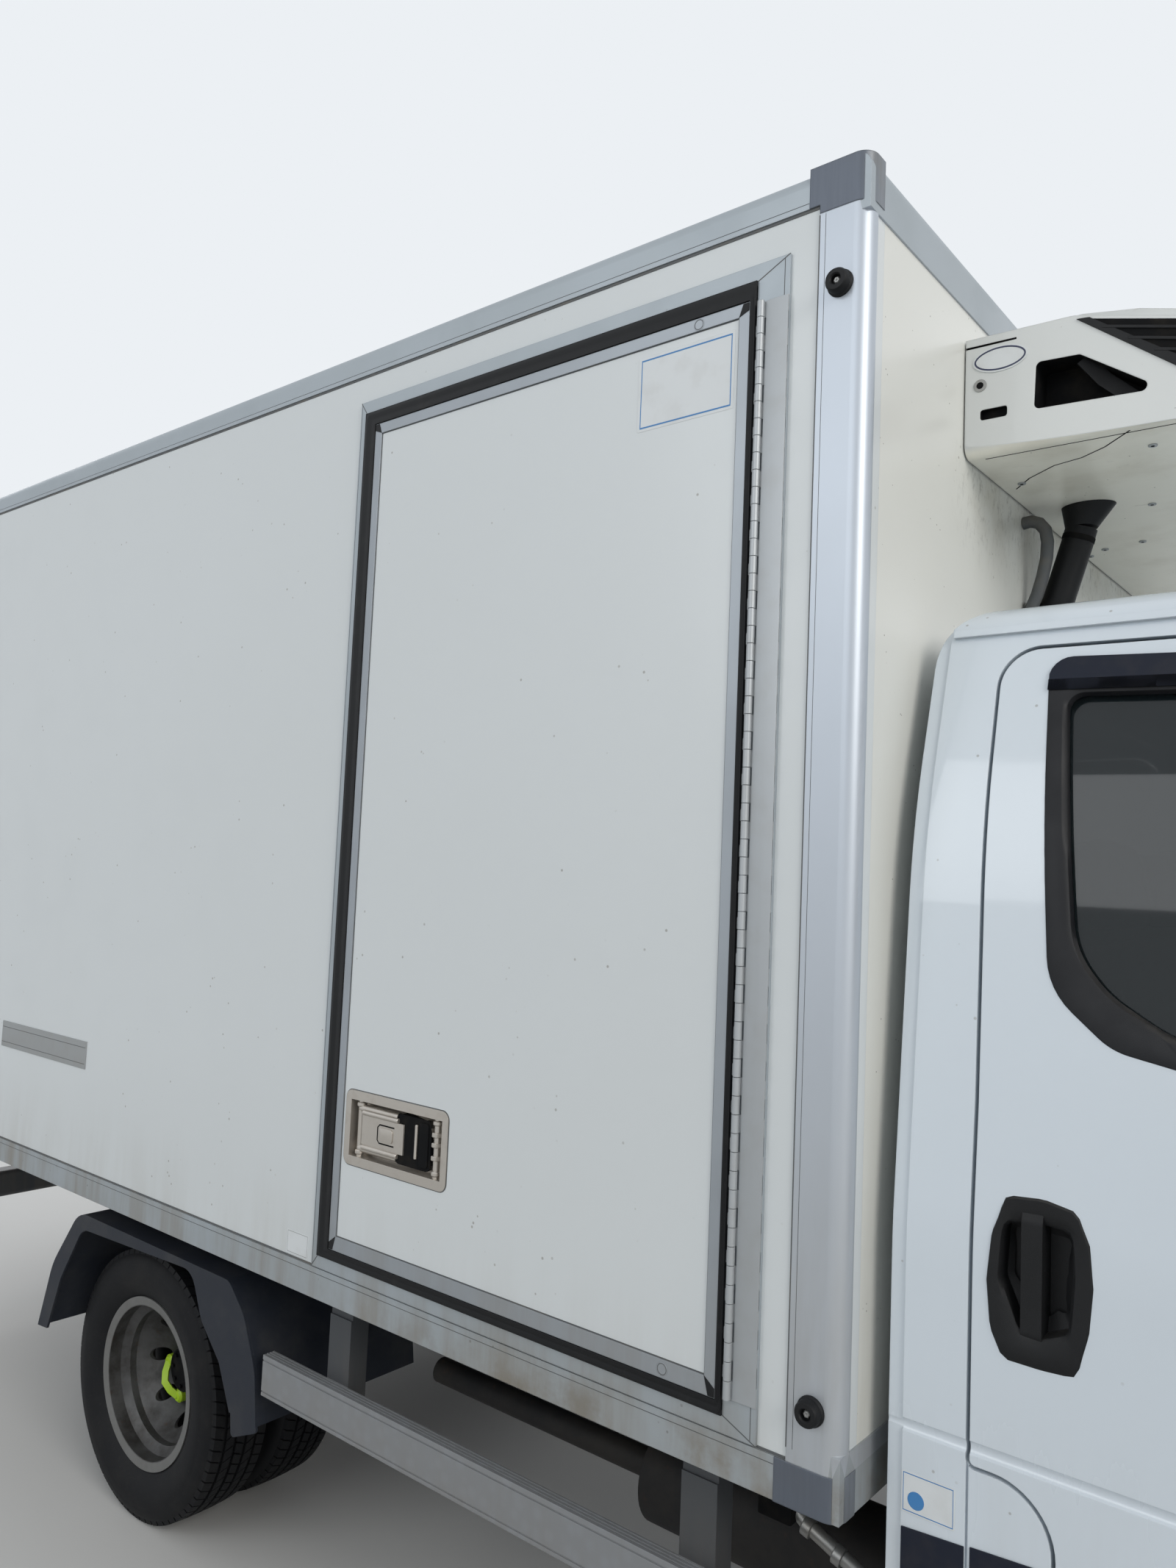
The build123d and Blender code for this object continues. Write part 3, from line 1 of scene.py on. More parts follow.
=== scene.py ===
# Looks of the refrigerated truck: studio, finishes, and the small parts that ride on its bodies
from math import acos, atan2, cos, hypot, pi, radians, sin, tau

import bmesh
import bpy
from mathutils import Matrix, Vector
from mathutils.bvhtree import BVHTree


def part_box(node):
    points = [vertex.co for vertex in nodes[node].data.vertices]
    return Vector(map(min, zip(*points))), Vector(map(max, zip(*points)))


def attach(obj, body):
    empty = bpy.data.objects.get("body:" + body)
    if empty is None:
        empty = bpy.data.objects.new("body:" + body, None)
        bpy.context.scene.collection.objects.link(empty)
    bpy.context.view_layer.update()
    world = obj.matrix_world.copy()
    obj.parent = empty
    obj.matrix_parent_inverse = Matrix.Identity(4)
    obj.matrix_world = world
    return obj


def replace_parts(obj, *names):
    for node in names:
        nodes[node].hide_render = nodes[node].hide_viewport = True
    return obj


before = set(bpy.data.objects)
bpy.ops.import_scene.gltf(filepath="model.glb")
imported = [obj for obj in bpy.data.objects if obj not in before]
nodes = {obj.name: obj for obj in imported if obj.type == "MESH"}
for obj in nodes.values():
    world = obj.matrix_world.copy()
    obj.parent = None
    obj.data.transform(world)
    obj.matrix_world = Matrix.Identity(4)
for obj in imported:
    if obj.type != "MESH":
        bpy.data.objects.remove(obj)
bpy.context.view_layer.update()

# Places are in millimetres from the load box's front face, the middle plane and the ground
MM = 0.001
BOX_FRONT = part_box("box_edge_rails")[1].x


def at(x, y, z):
    return Vector((BOX_FRONT + x * MM, y * MM, z * MM))


def rgb(red, green, blue):
    """A colour as it shows on screen, 0 to 255, turned into the linear values that shaders use."""
    return tuple((c / 255 / 12.92) if c < 10.3 else ((c / 255 + 0.055) / 1.055) ** 2.4
                 for c in (red, green, blue))


# Studio
PHOTO_SIZE = (1600, 2133)
FOCAL_PIXELS = 1536.745
CAMERA_AT = (1.64557, -2.72086, 1.78791)
CAMERA_YAW = 0.687318204
CAMERA_PITCH = 0.0760631094
CAMERA_ROLL = -0.0425547356
SENSOR = 36.0
BACKGROUND = rgb(236, 240, 244)
FLOOR_COLOUR = rgb(212, 212, 210)
FLOOR_RADIUS = 60.0
FLOOR_FADE = (4.5, 11.0)
SKY_STRENGTH = 0.46


def make_camera():
    camera = bpy.data.objects.new("camera", bpy.data.cameras.new("camera"))
    bpy.context.scene.collection.objects.link(camera)
    turn = Matrix.Rotation(CAMERA_YAW, 3, "Z") @ Matrix.Rotation(CAMERA_PITCH, 3, "X")
    turn = turn @ Matrix.Rotation(CAMERA_ROLL, 3, "Y")
    right, forward, up = (turn @ Vector(v) for v in ((1, 0, 0), (0, 1, 0), (0, 0, 1)))
    camera.matrix_world = Matrix((right, up, -forward)).transposed().to_4x4()
    camera.location = CAMERA_AT
    camera.data.sensor_width = SENSOR
    camera.data.lens = SENSOR * FOCAL_PIXELS / max(PHOTO_SIZE)
    camera.data.clip_end = 200
    bpy.context.scene.camera = camera


def seen_ray(tree):
    """1 where a ray from the camera, a gloss or a pane reaches the surface, 0 where light does."""
    path = tree.nodes.new("ShaderNodeLightPath")
    total = None
    for output in ("Is Camera Ray", "Is Glossy Ray", "Is Transmission Ray"):
        if total is None:
            total = path.outputs[output]
            continue
        most = tree.nodes.new("ShaderNodeMath")
        most.operation = "MAXIMUM"
        tree.links.new(total, most.inputs[0])
        tree.links.new(path.outputs[output], most.inputs[1])
        total = most.outputs[0]
    return total


def make_world():
    world = bpy.data.worlds.new("studio")
    world.use_nodes = True
    bpy.context.scene.world = world
    tree = world.node_tree
    seen = tree.nodes.new("ShaderNodeBackground")
    seen.inputs["Color"].default_value = (*BACKGROUND, 1)
    light = tree.nodes.new("ShaderNodeBackground")
    light.inputs["Color"].default_value = (0.93, 0.96, 1.0, 1)
    light.inputs["Strength"].default_value = SKY_STRENGTH
    mix = tree.nodes.new("ShaderNodeMixShader")
    tree.links.new(seen_ray(tree), mix.inputs["Fac"])
    tree.links.new(light.outputs[0], mix.inputs[1])
    tree.links.new(seen.outputs[0], mix.inputs[2])
    tree.links.new(mix.outputs[0], tree.nodes["World Output"].inputs["Surface"])


def make_floor():
    shape = Shape()
    shape.lathe([(0, 0), (FLOOR_RADIUS * 0.2, 0), (FLOOR_RADIUS, 0)], Matrix.Rotation(-pi / 2, 4, "X"), 96)
    finish = Finish("floor_plain", FLOOR_COLOUR, 0.85)
    tree = finish.material.node_tree
    spread = finish.node("ShaderNodeVectorMath", operation="LENGTH")
    finish.feed(spread.inputs[0], finish.place)
    far = finish.span(spread.outputs["Value"], *FLOOR_FADE)
    glow = finish.node("ShaderNodeEmission")
    glow.inputs["Color"].default_value = (*BACKGROUND, 1)
    mix = finish.node("ShaderNodeMixShader")
    finish.feed(mix.inputs["Fac"], finish.math("MULTIPLY", far, seen_ray(tree)))
    finish.feed(mix.inputs[1], finish.shader.outputs[0])
    finish.feed(mix.inputs[2], glow.outputs[0])
    finish.feed(tree.nodes["Material Output"].inputs["Surface"], mix.outputs[0])
    shape.write("studio_floor", None, None, finish.done())


def area_light(name, place, target, size, power, colour):
    light = bpy.data.lights.new(name, "AREA")
    light.shape = "RECTANGLE"
    light.size, light.size_y = size
    light.energy = power
    light.color = colour
    holder = bpy.data.objects.new(name, light)
    bpy.context.scene.collection.objects.link(holder)
    holder.location = place
    holder.rotation_euler = (Vector(target) - Vector(place)).to_track_quat("-Z", "Y").to_euler()


def make_lights():
    area_light("key_front", (10.5, -4.5, 6.5), (0.8, 0, 1.6), (6, 5), 620, (1.0, 0.97, 0.92))
    area_light("fill_side", (-1.5, -11, 6), (0, 0, 1.2), (9, 5), 270, (0.95, 0.98, 1.0))
    area_light("fill_left", (0, 11, 6), (0, 0, 1.2), (9, 5), 270, (1.0, 1.0, 1.0))
    area_light("fill_rear", (-10, 2, 5), (-2, 0, 1.4), (6, 5), 250, (1.0, 1.0, 1.0))


# Mesh code
def pointed(place, way):
    """Takes the origin to a place and the local Y axis to a direction."""
    return Matrix.Translation(place) @ Vector((0, 1, 0)).rotation_difference(way).to_matrix().to_4x4()


class Shape:
    """One piece under construction: closed forms added to a single mesh."""

    def __init__(self):
        self.mesh = bmesh.new()
        self.index = 0

    def material(self, index):
        """The finish that the next forms take, by its place in write()."""
        self.index = index
        return self

    def add(self, points, faces, bevel=0.0):
        verts = [self.mesh.verts.new(p) for p in points]
        made = []
        for face in faces:
            made.append(self.mesh.faces.new([verts[i] for i in face]))
        for face in made:
            face.material_index = self.index
        bmesh.ops.recalc_face_normals(self.mesh, faces=made)
        if bevel:
            edges = {e for f in made for e in f.edges
                     if len(e.link_faces) == 2 and e.calc_face_angle(0) > 0.4}
            done = bmesh.ops.bevel(self.mesh, geom=list(edges), offset=bevel, segments=2, profile=0.7,
                                   affect="EDGES", clamp_overlap=True)
            for face in done["faces"]:
                face.material_index = self.index

    def prism(self, outline, plane, span, bevel=0.0):
        """A closed outline in plane "XY", "XZ" or "YZ", drawn out along the third axis over span."""
        axes = {"XY": (0, 1, 2), "XZ": (0, 2, 1), "YZ": (1, 2, 0)}[plane]
        points = []
        for along in span:
            for a, b in outline:
                p = [0.0, 0.0, 0.0]
                p[axes[0]], p[axes[1]], p[axes[2]] = a, b, along
                points.append(Vector(p))
        n = len(outline)
        faces = [list(range(n)), list(range(2 * n - 1, n - 1, -1))]
        faces += [(i, (i + 1) % n, (i + 1) % n + n, i + n) for i in range(n)]
        self.add(points, faces, bevel)

    def block(self, low, high, bevel=0.0):
        self.prism(oblong(low, high), "XY", (low[2], high[2]), bevel)

    def lathe(self, profile, turn, steps, closed=False):
        """A profile of (radius, y) turned about the local Y axis; closed joins its two ends."""
        rows = []
        for step in range(steps):
            angle = tau * step / steps
            rows.append([(r * cos(angle), y, r * sin(angle)) for r, y in profile])
        n = len(profile)
        points = [turn @ Vector(p) for row in rows for p in row]
        faces = []
        for step in range(steps):
            a, b = step * n, ((step + 1) % len(rows)) * n
            for i in range(n if closed else n - 1):
                j = (i + 1) % n
                quad = (a + i, a + j, b + j, b + i)
                if profile[i][0] == 0 and profile[j][0] == 0:
                    continue
                faces.append(quad)
        before = len(self.mesh.verts)
        self.add(points, faces)
        self.mesh.verts.ensure_lookup_table()
        bmesh.ops.remove_doubles(self.mesh, verts=self.mesh.verts[before:], dist=1e-6)

    def rod(self, start, end, radius, steps=16, bevel=0.0):
        length = (end - start).length
        turn = pointed(start, end - start)
        ease = min(bevel, radius * 0.6, length * 0.3)
        profile = [(0, 0), (radius - ease, 0), (radius, ease), (radius, length - ease),
                   (radius - ease, length), (0, length)]
        if not ease:
            profile = [(0, 0), (radius, 0), (radius, length), (0, length)]
        self.lathe(profile, turn, steps)

    def tube(self, path, radius, steps=12, section=None, closed=False):
        """A round or given section swept along points, with square ends; section is a list of (a, b)."""
        ring = section or [(radius * cos(tau * i / steps), radius * sin(tau * i / steps))
                           for i in range(steps)]
        path = [Vector(p) for p in path]
        n = len(ring)
        points = []
        side = None
        for i, p in enumerate(path):
            ahead = path[(i + 1) % len(path)] if closed or i + 1 < len(path) else p
            behind = path[i - 1] if closed or i else p
            way = (ahead - behind).normalized()
            if side is None and abs(way.z) > 0.98:
                side = way.orthogonal().normalized()
            elif side is None:
                side = way.cross(Vector((0, 0, 1))).normalized()
            side = (side - way * side.dot(way)).normalized()
            rise = side.cross(way)
            points += [p + side * a + rise * b for a, b in ring]
        count = len(path)
        faces = []
        for i in range(count if closed else count - 1):
            a, b = i * n, ((i + 1) % count) * n
            faces += [(a + k, a + (k + 1) % n, b + (k + 1) % n, b + k) for k in range(n)]
        if not closed:
            faces += [tuple(range(n)), tuple(range((count - 1) * n, count * n))]
        self.add(points, faces)

    def loops(self, rings, where, closed=True, cap=(False, False), bevel=0.0):
        """Outlines of equal length, each at its own depth, joined in order; closed joins the ends."""
        count = len(rings[0][0])
        points = [where(a, b, depth) for outline, depth in rings for a, b in outline]
        faces = []
        for n in range(len(rings) if closed else len(rings) - 1):
            low, high = n * count, ((n + 1) % len(rings)) * count
            faces += [(low + i, low + (i + 1) % count, high + (i + 1) % count, high + i)
                      for i in range(count)]
        if cap[0]:
            faces.append(tuple(range(count)))
        if cap[1]:
            faces.append(tuple(range((len(rings) - 1) * count, len(rings) * count)))
        self.add(points, faces, bevel)

    def slab(self, outline, where, depths, bevel=0.0):
        """A filled outline between two depths."""
        self.loops([(outline, depths[0]), (outline, depths[1])], where, False, (True, True), bevel)

    def line(self, path, width, where, depths, closed=False):
        """A thin ribbon along a path."""
        left, right = [], []
        for i, p in enumerate(path):
            ahead = path[(i + 1) % len(path)] if closed or i + 1 < len(path) else p
            behind = path[i - 1] if closed or i else p
            way = Vector((ahead[0] - behind[0], ahead[1] - behind[1])).normalized()
            left.append((p[0] - way.y * width / 2, p[1] + way.x * width / 2))
            right.append((p[0] + way.y * width / 2, p[1] - way.x * width / 2))
        if closed:
            self.loops([(left, depths[0]), (left, depths[1]), (right, depths[1]), (right, depths[0])],
                       where)
        else:
            self.slab(left + right[::-1], where, depths)

    def strip(self, upper, lower, where, depths):
        """A band between two paths of equal length, between two depths."""
        points, faces = [], []
        for a, b in zip(upper, lower):
            points += [where(*a, depths[0]), where(*a, depths[1]), where(*b, depths[1]),
                       where(*b, depths[0])]
        for n in range(len(upper) - 1):
            faces += [(4 * n + i, 4 * n + (i + 1) % 4, 4 * n + 4 + (i + 1) % 4, 4 * n + 4 + i)
                      for i in range(4)]
        last = 4 * len(upper) - 4
        self.add(points, faces + [(0, 1, 2, 3), (last, last + 1, last + 2, last + 3)])

    def disc(self, centre, radius, where, depths, steps=24, bevel=0.0):
        self.slab(circle(centre, radius, steps), where, depths, bevel)

    def write(self, name, body, slot, *materials, smooth=35):
        for edge in self.mesh.edges:
            edge.smooth = len(edge.link_faces) != 2 or edge.calc_face_angle(0) < radians(smooth)
        for face in self.mesh.faces:
            face.smooth = True
        data = bpy.data.meshes.new(name)
        self.mesh.to_mesh(data)
        self.mesh.free()
        for material in materials:
            data.materials.append(material)
        made = bpy.data.objects.new(name, data)
        bpy.context.scene.collection.objects.link(made)
        if body:
            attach(made, body)
        return made


def circle(centre, radius, steps=24, flat=1.0):
    return [(centre[0] + radius * cos(tau * i / steps), centre[1] + radius * flat * sin(tau * i / steps))
            for i in range(steps)]


def oblong(low, high):
    return [(low[0], low[1]), (high[0], low[1]), (high[0], high[1]), (low[0], high[1])]


def rounded(points, radius, steps=6):
    """The outline with its corners rounded, by one radius or one for each corner."""
    radii = radius if isinstance(radius, (list, tuple)) else [radius] * len(points)
    result = []
    for i, r in enumerate(radii):
        p, a, b = Vector(points[i]), Vector(points[i - 1]), Vector(points[(i + 1) % len(points)])
        u, v = (a - p).normalized(), (b - p).normalized()
        half = acos(max(-1, min(1, u.dot(v)))) / 2
        if not r or half > 1.55:
            result.append(tuple(p))
            continue
        reach = min(r / (sin(half) / cos(half)), (a - p).length * 0.499, (b - p).length * 0.499)
        r = reach * sin(half) / cos(half)
        centre = p + (u + v).normalized() * (r / sin(half))
        first, last = p + u * reach - centre, p + v * reach - centre
        start = atan2(first.y, first.x)
        sweep = (atan2(last.y, last.x) - start + pi) % tau - pi
        result += [(centre.x + r * cos(start + sweep * n / steps),
                    centre.y + r * sin(start + sweep * n / steps))
                   for n in range(steps + 1)]
    return result


def offset(points, by):
    """The outline moved outward by a distance, or inward by a negative one."""
    count = len(points)
    area = sum(points[i - 1][0] * points[i][1] - points[i][0] * points[i - 1][1] for i in range(count))
    turn = 1 if area > 0 else -1
    result = []
    for i, p in enumerate(points):
        a, b = points[i - 1], points[(i + 1) % count]
        before = Vector((p[1] - a[1], a[0] - p[0])).normalized() * turn
        after = Vector((b[1] - p[1], p[0] - b[0])).normalized() * turn
        middle = before + after
        middle = middle / max(middle.length_squared, 0.3) * 2
        result.append((p[0] + middle.x * by, p[1] + middle.y * by))
    return result


def subdivided(points, counts):
    """The outline with each edge cut into the given number of lengths."""
    result = []
    for i, count in enumerate(counts):
        a, b = points[i - 1], points[i]
        result += [(a[0] + (b[0] - a[0]) * n / count, a[1] + (b[1] - a[1]) * n / count)
                   for n in range(count)]
    return result


def inside(points, x, z):
    hit = False
    for i, (x1, z1) in enumerate(points):
        x0, z0 = points[i - 1]
        if (z0 > z) != (z1 > z) and x < (x1 - x0) * (z - z0) / (z1 - z0) + x0:
            hit = not hit
    return hit


# Places on a flat side, front or foot: (a, b, how far out) to a point
def side_face(y):
    way = 1 if y > 0 else -1
    return lambda x, z, out: at(x, y + way * out, z)


def front_face(x):
    return lambda y, z, out: at(x + out, y, z)


def rear_face(x):
    return lambda y, z, out: at(x - out, y, z)


def foot_face(z):
    return lambda x, y, out: at(x, y, z - out)


def surface_tree(names):
    verts, faces = [], []
    for name in names:
        base = len(verts)
        data = nodes[name].data
        verts += [nodes[name].matrix_world @ v.co for v in data.vertices]
        faces += [[base + i for i in f.vertices] for f in data.polygons]
    return BVHTree.FromPolygons(verts, faces)


def skin_face(names, side):
    """Places on the curved side of some CAD nodes, found by a ray from outside: (x, z, how far out)."""
    tree = surface_tree(names)

    def where(x, z, out):
        start = at(x, side * 1500, z)
        for shift in (0, 4, -4, 8, -8, 16, -16, 30, -30):
            hit = tree.ray_cast(start + Vector((shift * MM, 0, 0)), Vector((0, -side, 0)))
            if hit[0] and hit[0].y * side > 0.5:
                return Vector((start.x, hit[0].y + side * out * MM, start.z))
        raise ValueError("no surface at %s, %s" % (x, z))
    return where


def paint(name, finish, wanted):
    """Gives another finish to the faces of a CAD node that pass a test, in millimetres."""
    data = nodes[name].data
    data.materials.append(finish)
    index = len(data.materials) - 1
    for face in data.polygons:
        middle = (face.center - Vector((BOX_FRONT, 0, 0))) / MM
        if wanted(middle, face.normal):
            face.material_index = index


# Finishes
DIRT_STREAKS = 14


class Finish:
    """A node material under construction. A value that is the same all over goes on the shader itself."""

    def __init__(self, name, colour, roughness, metallic=0.0, **more):
        self.material = bpy.data.materials.new(name)
        self.material.use_nodes = True
        self.nodes = self.material.node_tree.nodes
        self.links = self.material.node_tree.links
        self.shader = self.nodes["Principled BSDF"]
        self.place = self.node("ShaderNodeTexCoord").outputs["Object"]
        self.colour = (*colour, 1)
        self.roughness = roughness
        self.shader.inputs["Metallic"].default_value = metallic
        for socket, value in more.items():
            self.shader.inputs[socket.replace("_", " ").title().replace("Ior", "IOR")].default_value = value
        self.normal = None

    def node(self, kind, **settings):
        made = self.nodes.new(kind)
        for name, value in settings.items():
            setattr(made, name, value)
        return made

    def feed(self, target, value):
        if isinstance(value, bpy.types.NodeSocket):
            self.links.new(value, target)
        elif value is not None:
            target.default_value = value

    def math(self, operation, a, b=None, clamp=False):
        made = self.node("ShaderNodeMath", operation=operation, use_clamp=clamp)
        self.feed(made.inputs[0], a)
        self.feed(made.inputs[1], b)
        return made.outputs[0]

    def span(self, value, low, high, to=(0.0, 1.0)):
        """value, from low to high, as a share from 0 to 1."""
        made = self.node("ShaderNodeMapRange", interpolation_type="SMOOTHSTEP")
        self.feed(made.inputs["Value"], value)
        made.inputs["From Min"].default_value = low
        made.inputs["From Max"].default_value = high
        made.inputs["To Min"].default_value, made.inputs["To Max"].default_value = to
        return made.outputs["Result"]

    def mix(self, share, a, b):
        made = self.node("ShaderNodeMix", data_type="RGBA")
        self.feed(made.inputs[0], share)
        self.feed(made.inputs[6], (*a, 1) if isinstance(a, tuple) and len(a) == 3 else a)
        self.feed(made.inputs[7], (*b, 1) if isinstance(b, tuple) and len(b) == 3 else b)
        return made.outputs[2]

    def stretched(self, scale):
        made = self.node("ShaderNodeMapping")
        self.feed(made.inputs["Vector"], self.place)
        made.inputs["Scale"].default_value = scale
        return made.outputs["Vector"]

    def noise(self, scale, detail=3.0, rough=0.5, stretch=None):
        made = self.node("ShaderNodeTexNoise")
        self.feed(made.inputs["Vector"], self.stretched(stretch) if stretch else self.place)
        made.inputs["Scale"].default_value = scale
        made.inputs["Detail"].default_value = detail
        made.inputs["Roughness"].default_value = rough
        return made.outputs["Fac"]

    def cells(self, scale, jitter=1.0):
        made = self.node("ShaderNodeTexVoronoi")
        self.feed(made.inputs["Vector"], self.place)
        made.inputs["Scale"].default_value = scale
        made.inputs["Randomness"].default_value = jitter
        return made.outputs["Distance"]

    def wave(self, scale, axis):
        made = self.node("ShaderNodeTexWave", bands_direction=axis)
        self.feed(made.inputs["Vector"], self.place)
        made.inputs["Scale"].default_value = scale
        return made.outputs["Fac"]

    def coordinate(self, axis):
        made = self.node("ShaderNodeSeparateXYZ")
        self.feed(made.inputs[0], self.place)
        return made.outputs[axis]

    def axle_distance(self):
        """How far the place is from the nearer axle, seen from the side."""
        apart = []
        for wheel in ("rear_tyres_right", "front_tyre_right"):
            low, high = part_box(wheel)
            flat = self.node("ShaderNodeVectorMath", operation="MULTIPLY")
            self.feed(flat.inputs[0], self.place)
            flat.inputs[1].default_value = (1, 0, 1)
            span = self.node("ShaderNodeVectorMath", operation="DISTANCE")
            self.feed(span.inputs[0], flat.outputs[0])
            span.inputs[1].default_value = ((low.x + high.x) / 2, 0, (low.z + high.z) / 2)
            apart.append(span.outputs["Value"])
        return self.math("MINIMUM", *apart)

    def facing(self, axis):
        """How much the surface faces along an axis, from -1 to 1."""
        made = self.node("ShaderNodeSeparateXYZ")
        self.feed(made.inputs[0], self.node("ShaderNodeNewGeometry").outputs["Normal"])
        return made.outputs[axis]

    def tint(self, share, colour):
        """Lays a colour over what is there, by a share from 0 to 1."""
        self.colour = self.mix(share, self.colour, colour)
        return self

    def gloss(self, share, roughness):
        """Turns the roughness towards another value, by a share from 0 to 1."""
        made = self.node("ShaderNodeMix", data_type="FLOAT")
        self.feed(made.inputs[0], share)
        self.feed(made.inputs[2], self.roughness)
        self.feed(made.inputs[3], roughness)
        self.roughness = made.outputs[0]
        return self

    def bump(self, height, distance, strength=1.0):
        made = self.node("ShaderNodeBump")
        made.inputs["Distance"].default_value = distance
        made.inputs["Strength"].default_value = strength
        self.feed(made.inputs["Height"], height)
        self.feed(made.inputs["Normal"], self.normal)
        self.normal = made.outputs["Normal"]
        return self

    def soft_edges(self, radius):
        """Sharp edges catch light as if they were rounded to this radius."""
        made = self.node("ShaderNodeBevel", samples=4)
        made.inputs["Radius"].default_value = radius
        self.normal = made.outputs["Normal"]
        return self

    def dust(self, low, high, amount, colour):
        """Road dirt that thickens from the height high down to low, in upright streaks."""
        depth = self.span(self.coordinate("Z"), high, low)
        runs = self.span(self.noise(DIRT_STREAKS, 4, 0.6, (1, 1, 0.12)), 0.35, 0.72)
        patches = self.span(self.noise(2.2, 5, 0.6), 0.3, 0.75)
        share = self.math("MULTIPLY", depth, self.math("ADD", self.math("MULTIPLY", runs, 0.6),
                                                      self.math("MULTIPLY", patches, 0.4)))
        share = self.math("MULTIPLY", share, amount, clamp=True)
        self.tint(share, colour)
        return self.gloss(share, 0.8)

    def specks(self, scale, size, amount, colour):
        """Sparse small dots."""
        dot = self.span(self.cells(scale), size, size * 0.5)
        rare = self.span(self.noise(scale * 0.35, 1), 0.6, 0.68)
        self.tint(self.math("MULTIPLY", self.math("MULTIPLY", dot, rare), amount), colour)
        return self

    def done(self):
        self.feed(self.shader.inputs["Base Color"], self.colour)
        self.feed(self.shader.inputs["Roughness"], self.roughness)
        self.feed(self.shader.inputs["Normal"], self.normal)
        return self.material


DIRT = rgb(128, 117, 98)
DRY_DIRT = rgb(150, 142, 126)
SOOT = rgb(58, 54, 48)


def panel_finish():
    """Gel-coated side wall: hardly any texture, with grime along its foot and a few specks."""
    # The blue in this white is painted sky shade; the gel coat itself is white.
    f = Finish("panel_gelcoat", rgb(210, 215, 217), 0.3, coat_weight=0.25, coat_roughness=0.12)
    f.tint(f.span(f.noise(0.9, 4), 0.3, 0.75, (0.0, 0.16)), rgb(200, 204, 204))
    f.dust(0.83, 1.15, 0.26, DRY_DIRT)
    f.specks(38, 0.13, 0.55, rgb(110, 102, 88))
    f.gloss(f.span(f.noise(7, 4), 0.4, 0.75), 0.42)
    f.soft_edges(0.0012).bump(f.noise(2.4, 2), 0.004, 0.25)
    return f.bump(f.noise(420, 2), 0.00012, 0.5).done()


def front_wall_finish():
    """The same coat on the front wall, with dead insects and black streaks below the cooling unit."""
    f = Finish("front_wall_gelcoat", rgb(219, 220, 215), 0.34, coat_weight=0.2, coat_roughness=0.15)
    f.tint(f.span(f.noise(1.6, 5), 0.35, 0.75, (0.0, 0.25)), rgb(204, 203, 195))
    f.specks(70, 0.12, 0.85, rgb(70, 58, 42))
    f.specks(26, 0.1, 0.6, rgb(92, 80, 60))
    under_unit = f.math("MULTIPLY", f.span(f.coordinate("Z"), 2.35, 2.6),
                        f.span(f.coordinate("Z"), 2.66, 2.58))
    under_unit = f.math("MULTIPLY", under_unit, f.span(f.math("ABSOLUTE", f.coordinate("Y")), 0.76, 0.6))
    f.tint(f.math("MULTIPLY", under_unit, f.span(f.noise(90, 5, 0.7, (1, 1, 0.45)), 0.5, 0.72, (0, 0.5))),
           SOOT)
    f.tint(f.math("MULTIPLY", under_unit, f.span(f.noise(7, 4), 0.35, 0.7, (0, 0.35))), rgb(168, 158, 132))
    f.dust(0.83, 1.4, 0.4, DRY_DIRT)
    return f.soft_edges(0.0012).bump(f.noise(300, 2), 0.00015, 0.5).done()


def profile_finish():
    """Satin anodised extrusion, with long fine draw lines and dull patches."""
    f = Finish("anodised_profile", rgb(166, 174, 180), 0.45, 0.4)
    lines = f.noise(240, 2, 0.5, (0.02, 1, 1))
    f.tint(f.span(f.noise(3, 4), 0.35, 0.7, (0, 0.25)), rgb(150, 157, 160))
    f.dust(0.81, 1.1, 0.75, DIRT)
    foot = f.math("MULTIPLY", f.span(f.coordinate("Z"), 0.93, 0.84), f.span(f.coordinate("X"), -0.9, 0.6))
    f.tint(f.math("MULTIPLY", foot, f.span(f.noise(9, 5, 0.65), 0.4, 0.7, (0.0, 0.6))), rgb(116, 104, 84))
    f.specks(30, 0.1, 0.5, rgb(96, 90, 80))
    f.gloss(f.span(f.noise(9, 4), 0.4, 0.7), 0.55)
    return f.soft_edges(0.0015).bump(lines, 0.00008, 0.5).done()


def post_profile_finish():
    """Corner post: bluer and smoother than the rails, its blue and its grey towards the foot being painted
    reflection of sky and ground, and dusty at its foot.
    """
    # The blue in this colour and the grey below 2.2 m are painted reflection of sky above and ground below.
    f = Finish("corner_post", rgb(184, 191, 200), 0.4, 0.45)
    f.tint(f.span(f.coordinate("Z"), 2.2, 1.0, (0, 0.35)), rgb(176, 178, 178))
    f.dust(0.85, 1.5, 0.45, DIRT)
    f.tint(f.span(f.noise(3, 4), 0.4, 0.7, (0, 0.2)), rgb(166, 172, 178))
    return f.soft_edges(0.002).bump(f.noise(240, 2, 0.5, (1, 1, 0.02)), 0.00008, 0.5).done()


def edging_finish():
    """The door leaf's aluminium edging, a little darker than the frame."""
    f = Finish("door_edging", rgb(156, 162, 168), 0.38, 0.5)
    f.tint(f.span(f.noise(5, 4), 0.4, 0.7, (0, 0.3)), rgb(138, 143, 148))
    f.dust(0.95, 1.3, 0.4, DIRT)
    return f.soft_edges(0.0015).done()


def small_finish(name, colour, roughness, metallic=0.0, grime=0.25, specular=0.5):
    """A plain moulding, print or fitting, with a little dirt in patches."""
    f = Finish(name, colour, roughness, metallic, specular_ior_level=specular)
    f.tint(f.span(f.noise(24, 4), 0.42, 0.78, (0, grime)), DIRT)
    return f.soft_edges(0.0008).bump(f.noise(300, 3), 0.0001, 0.5).done()


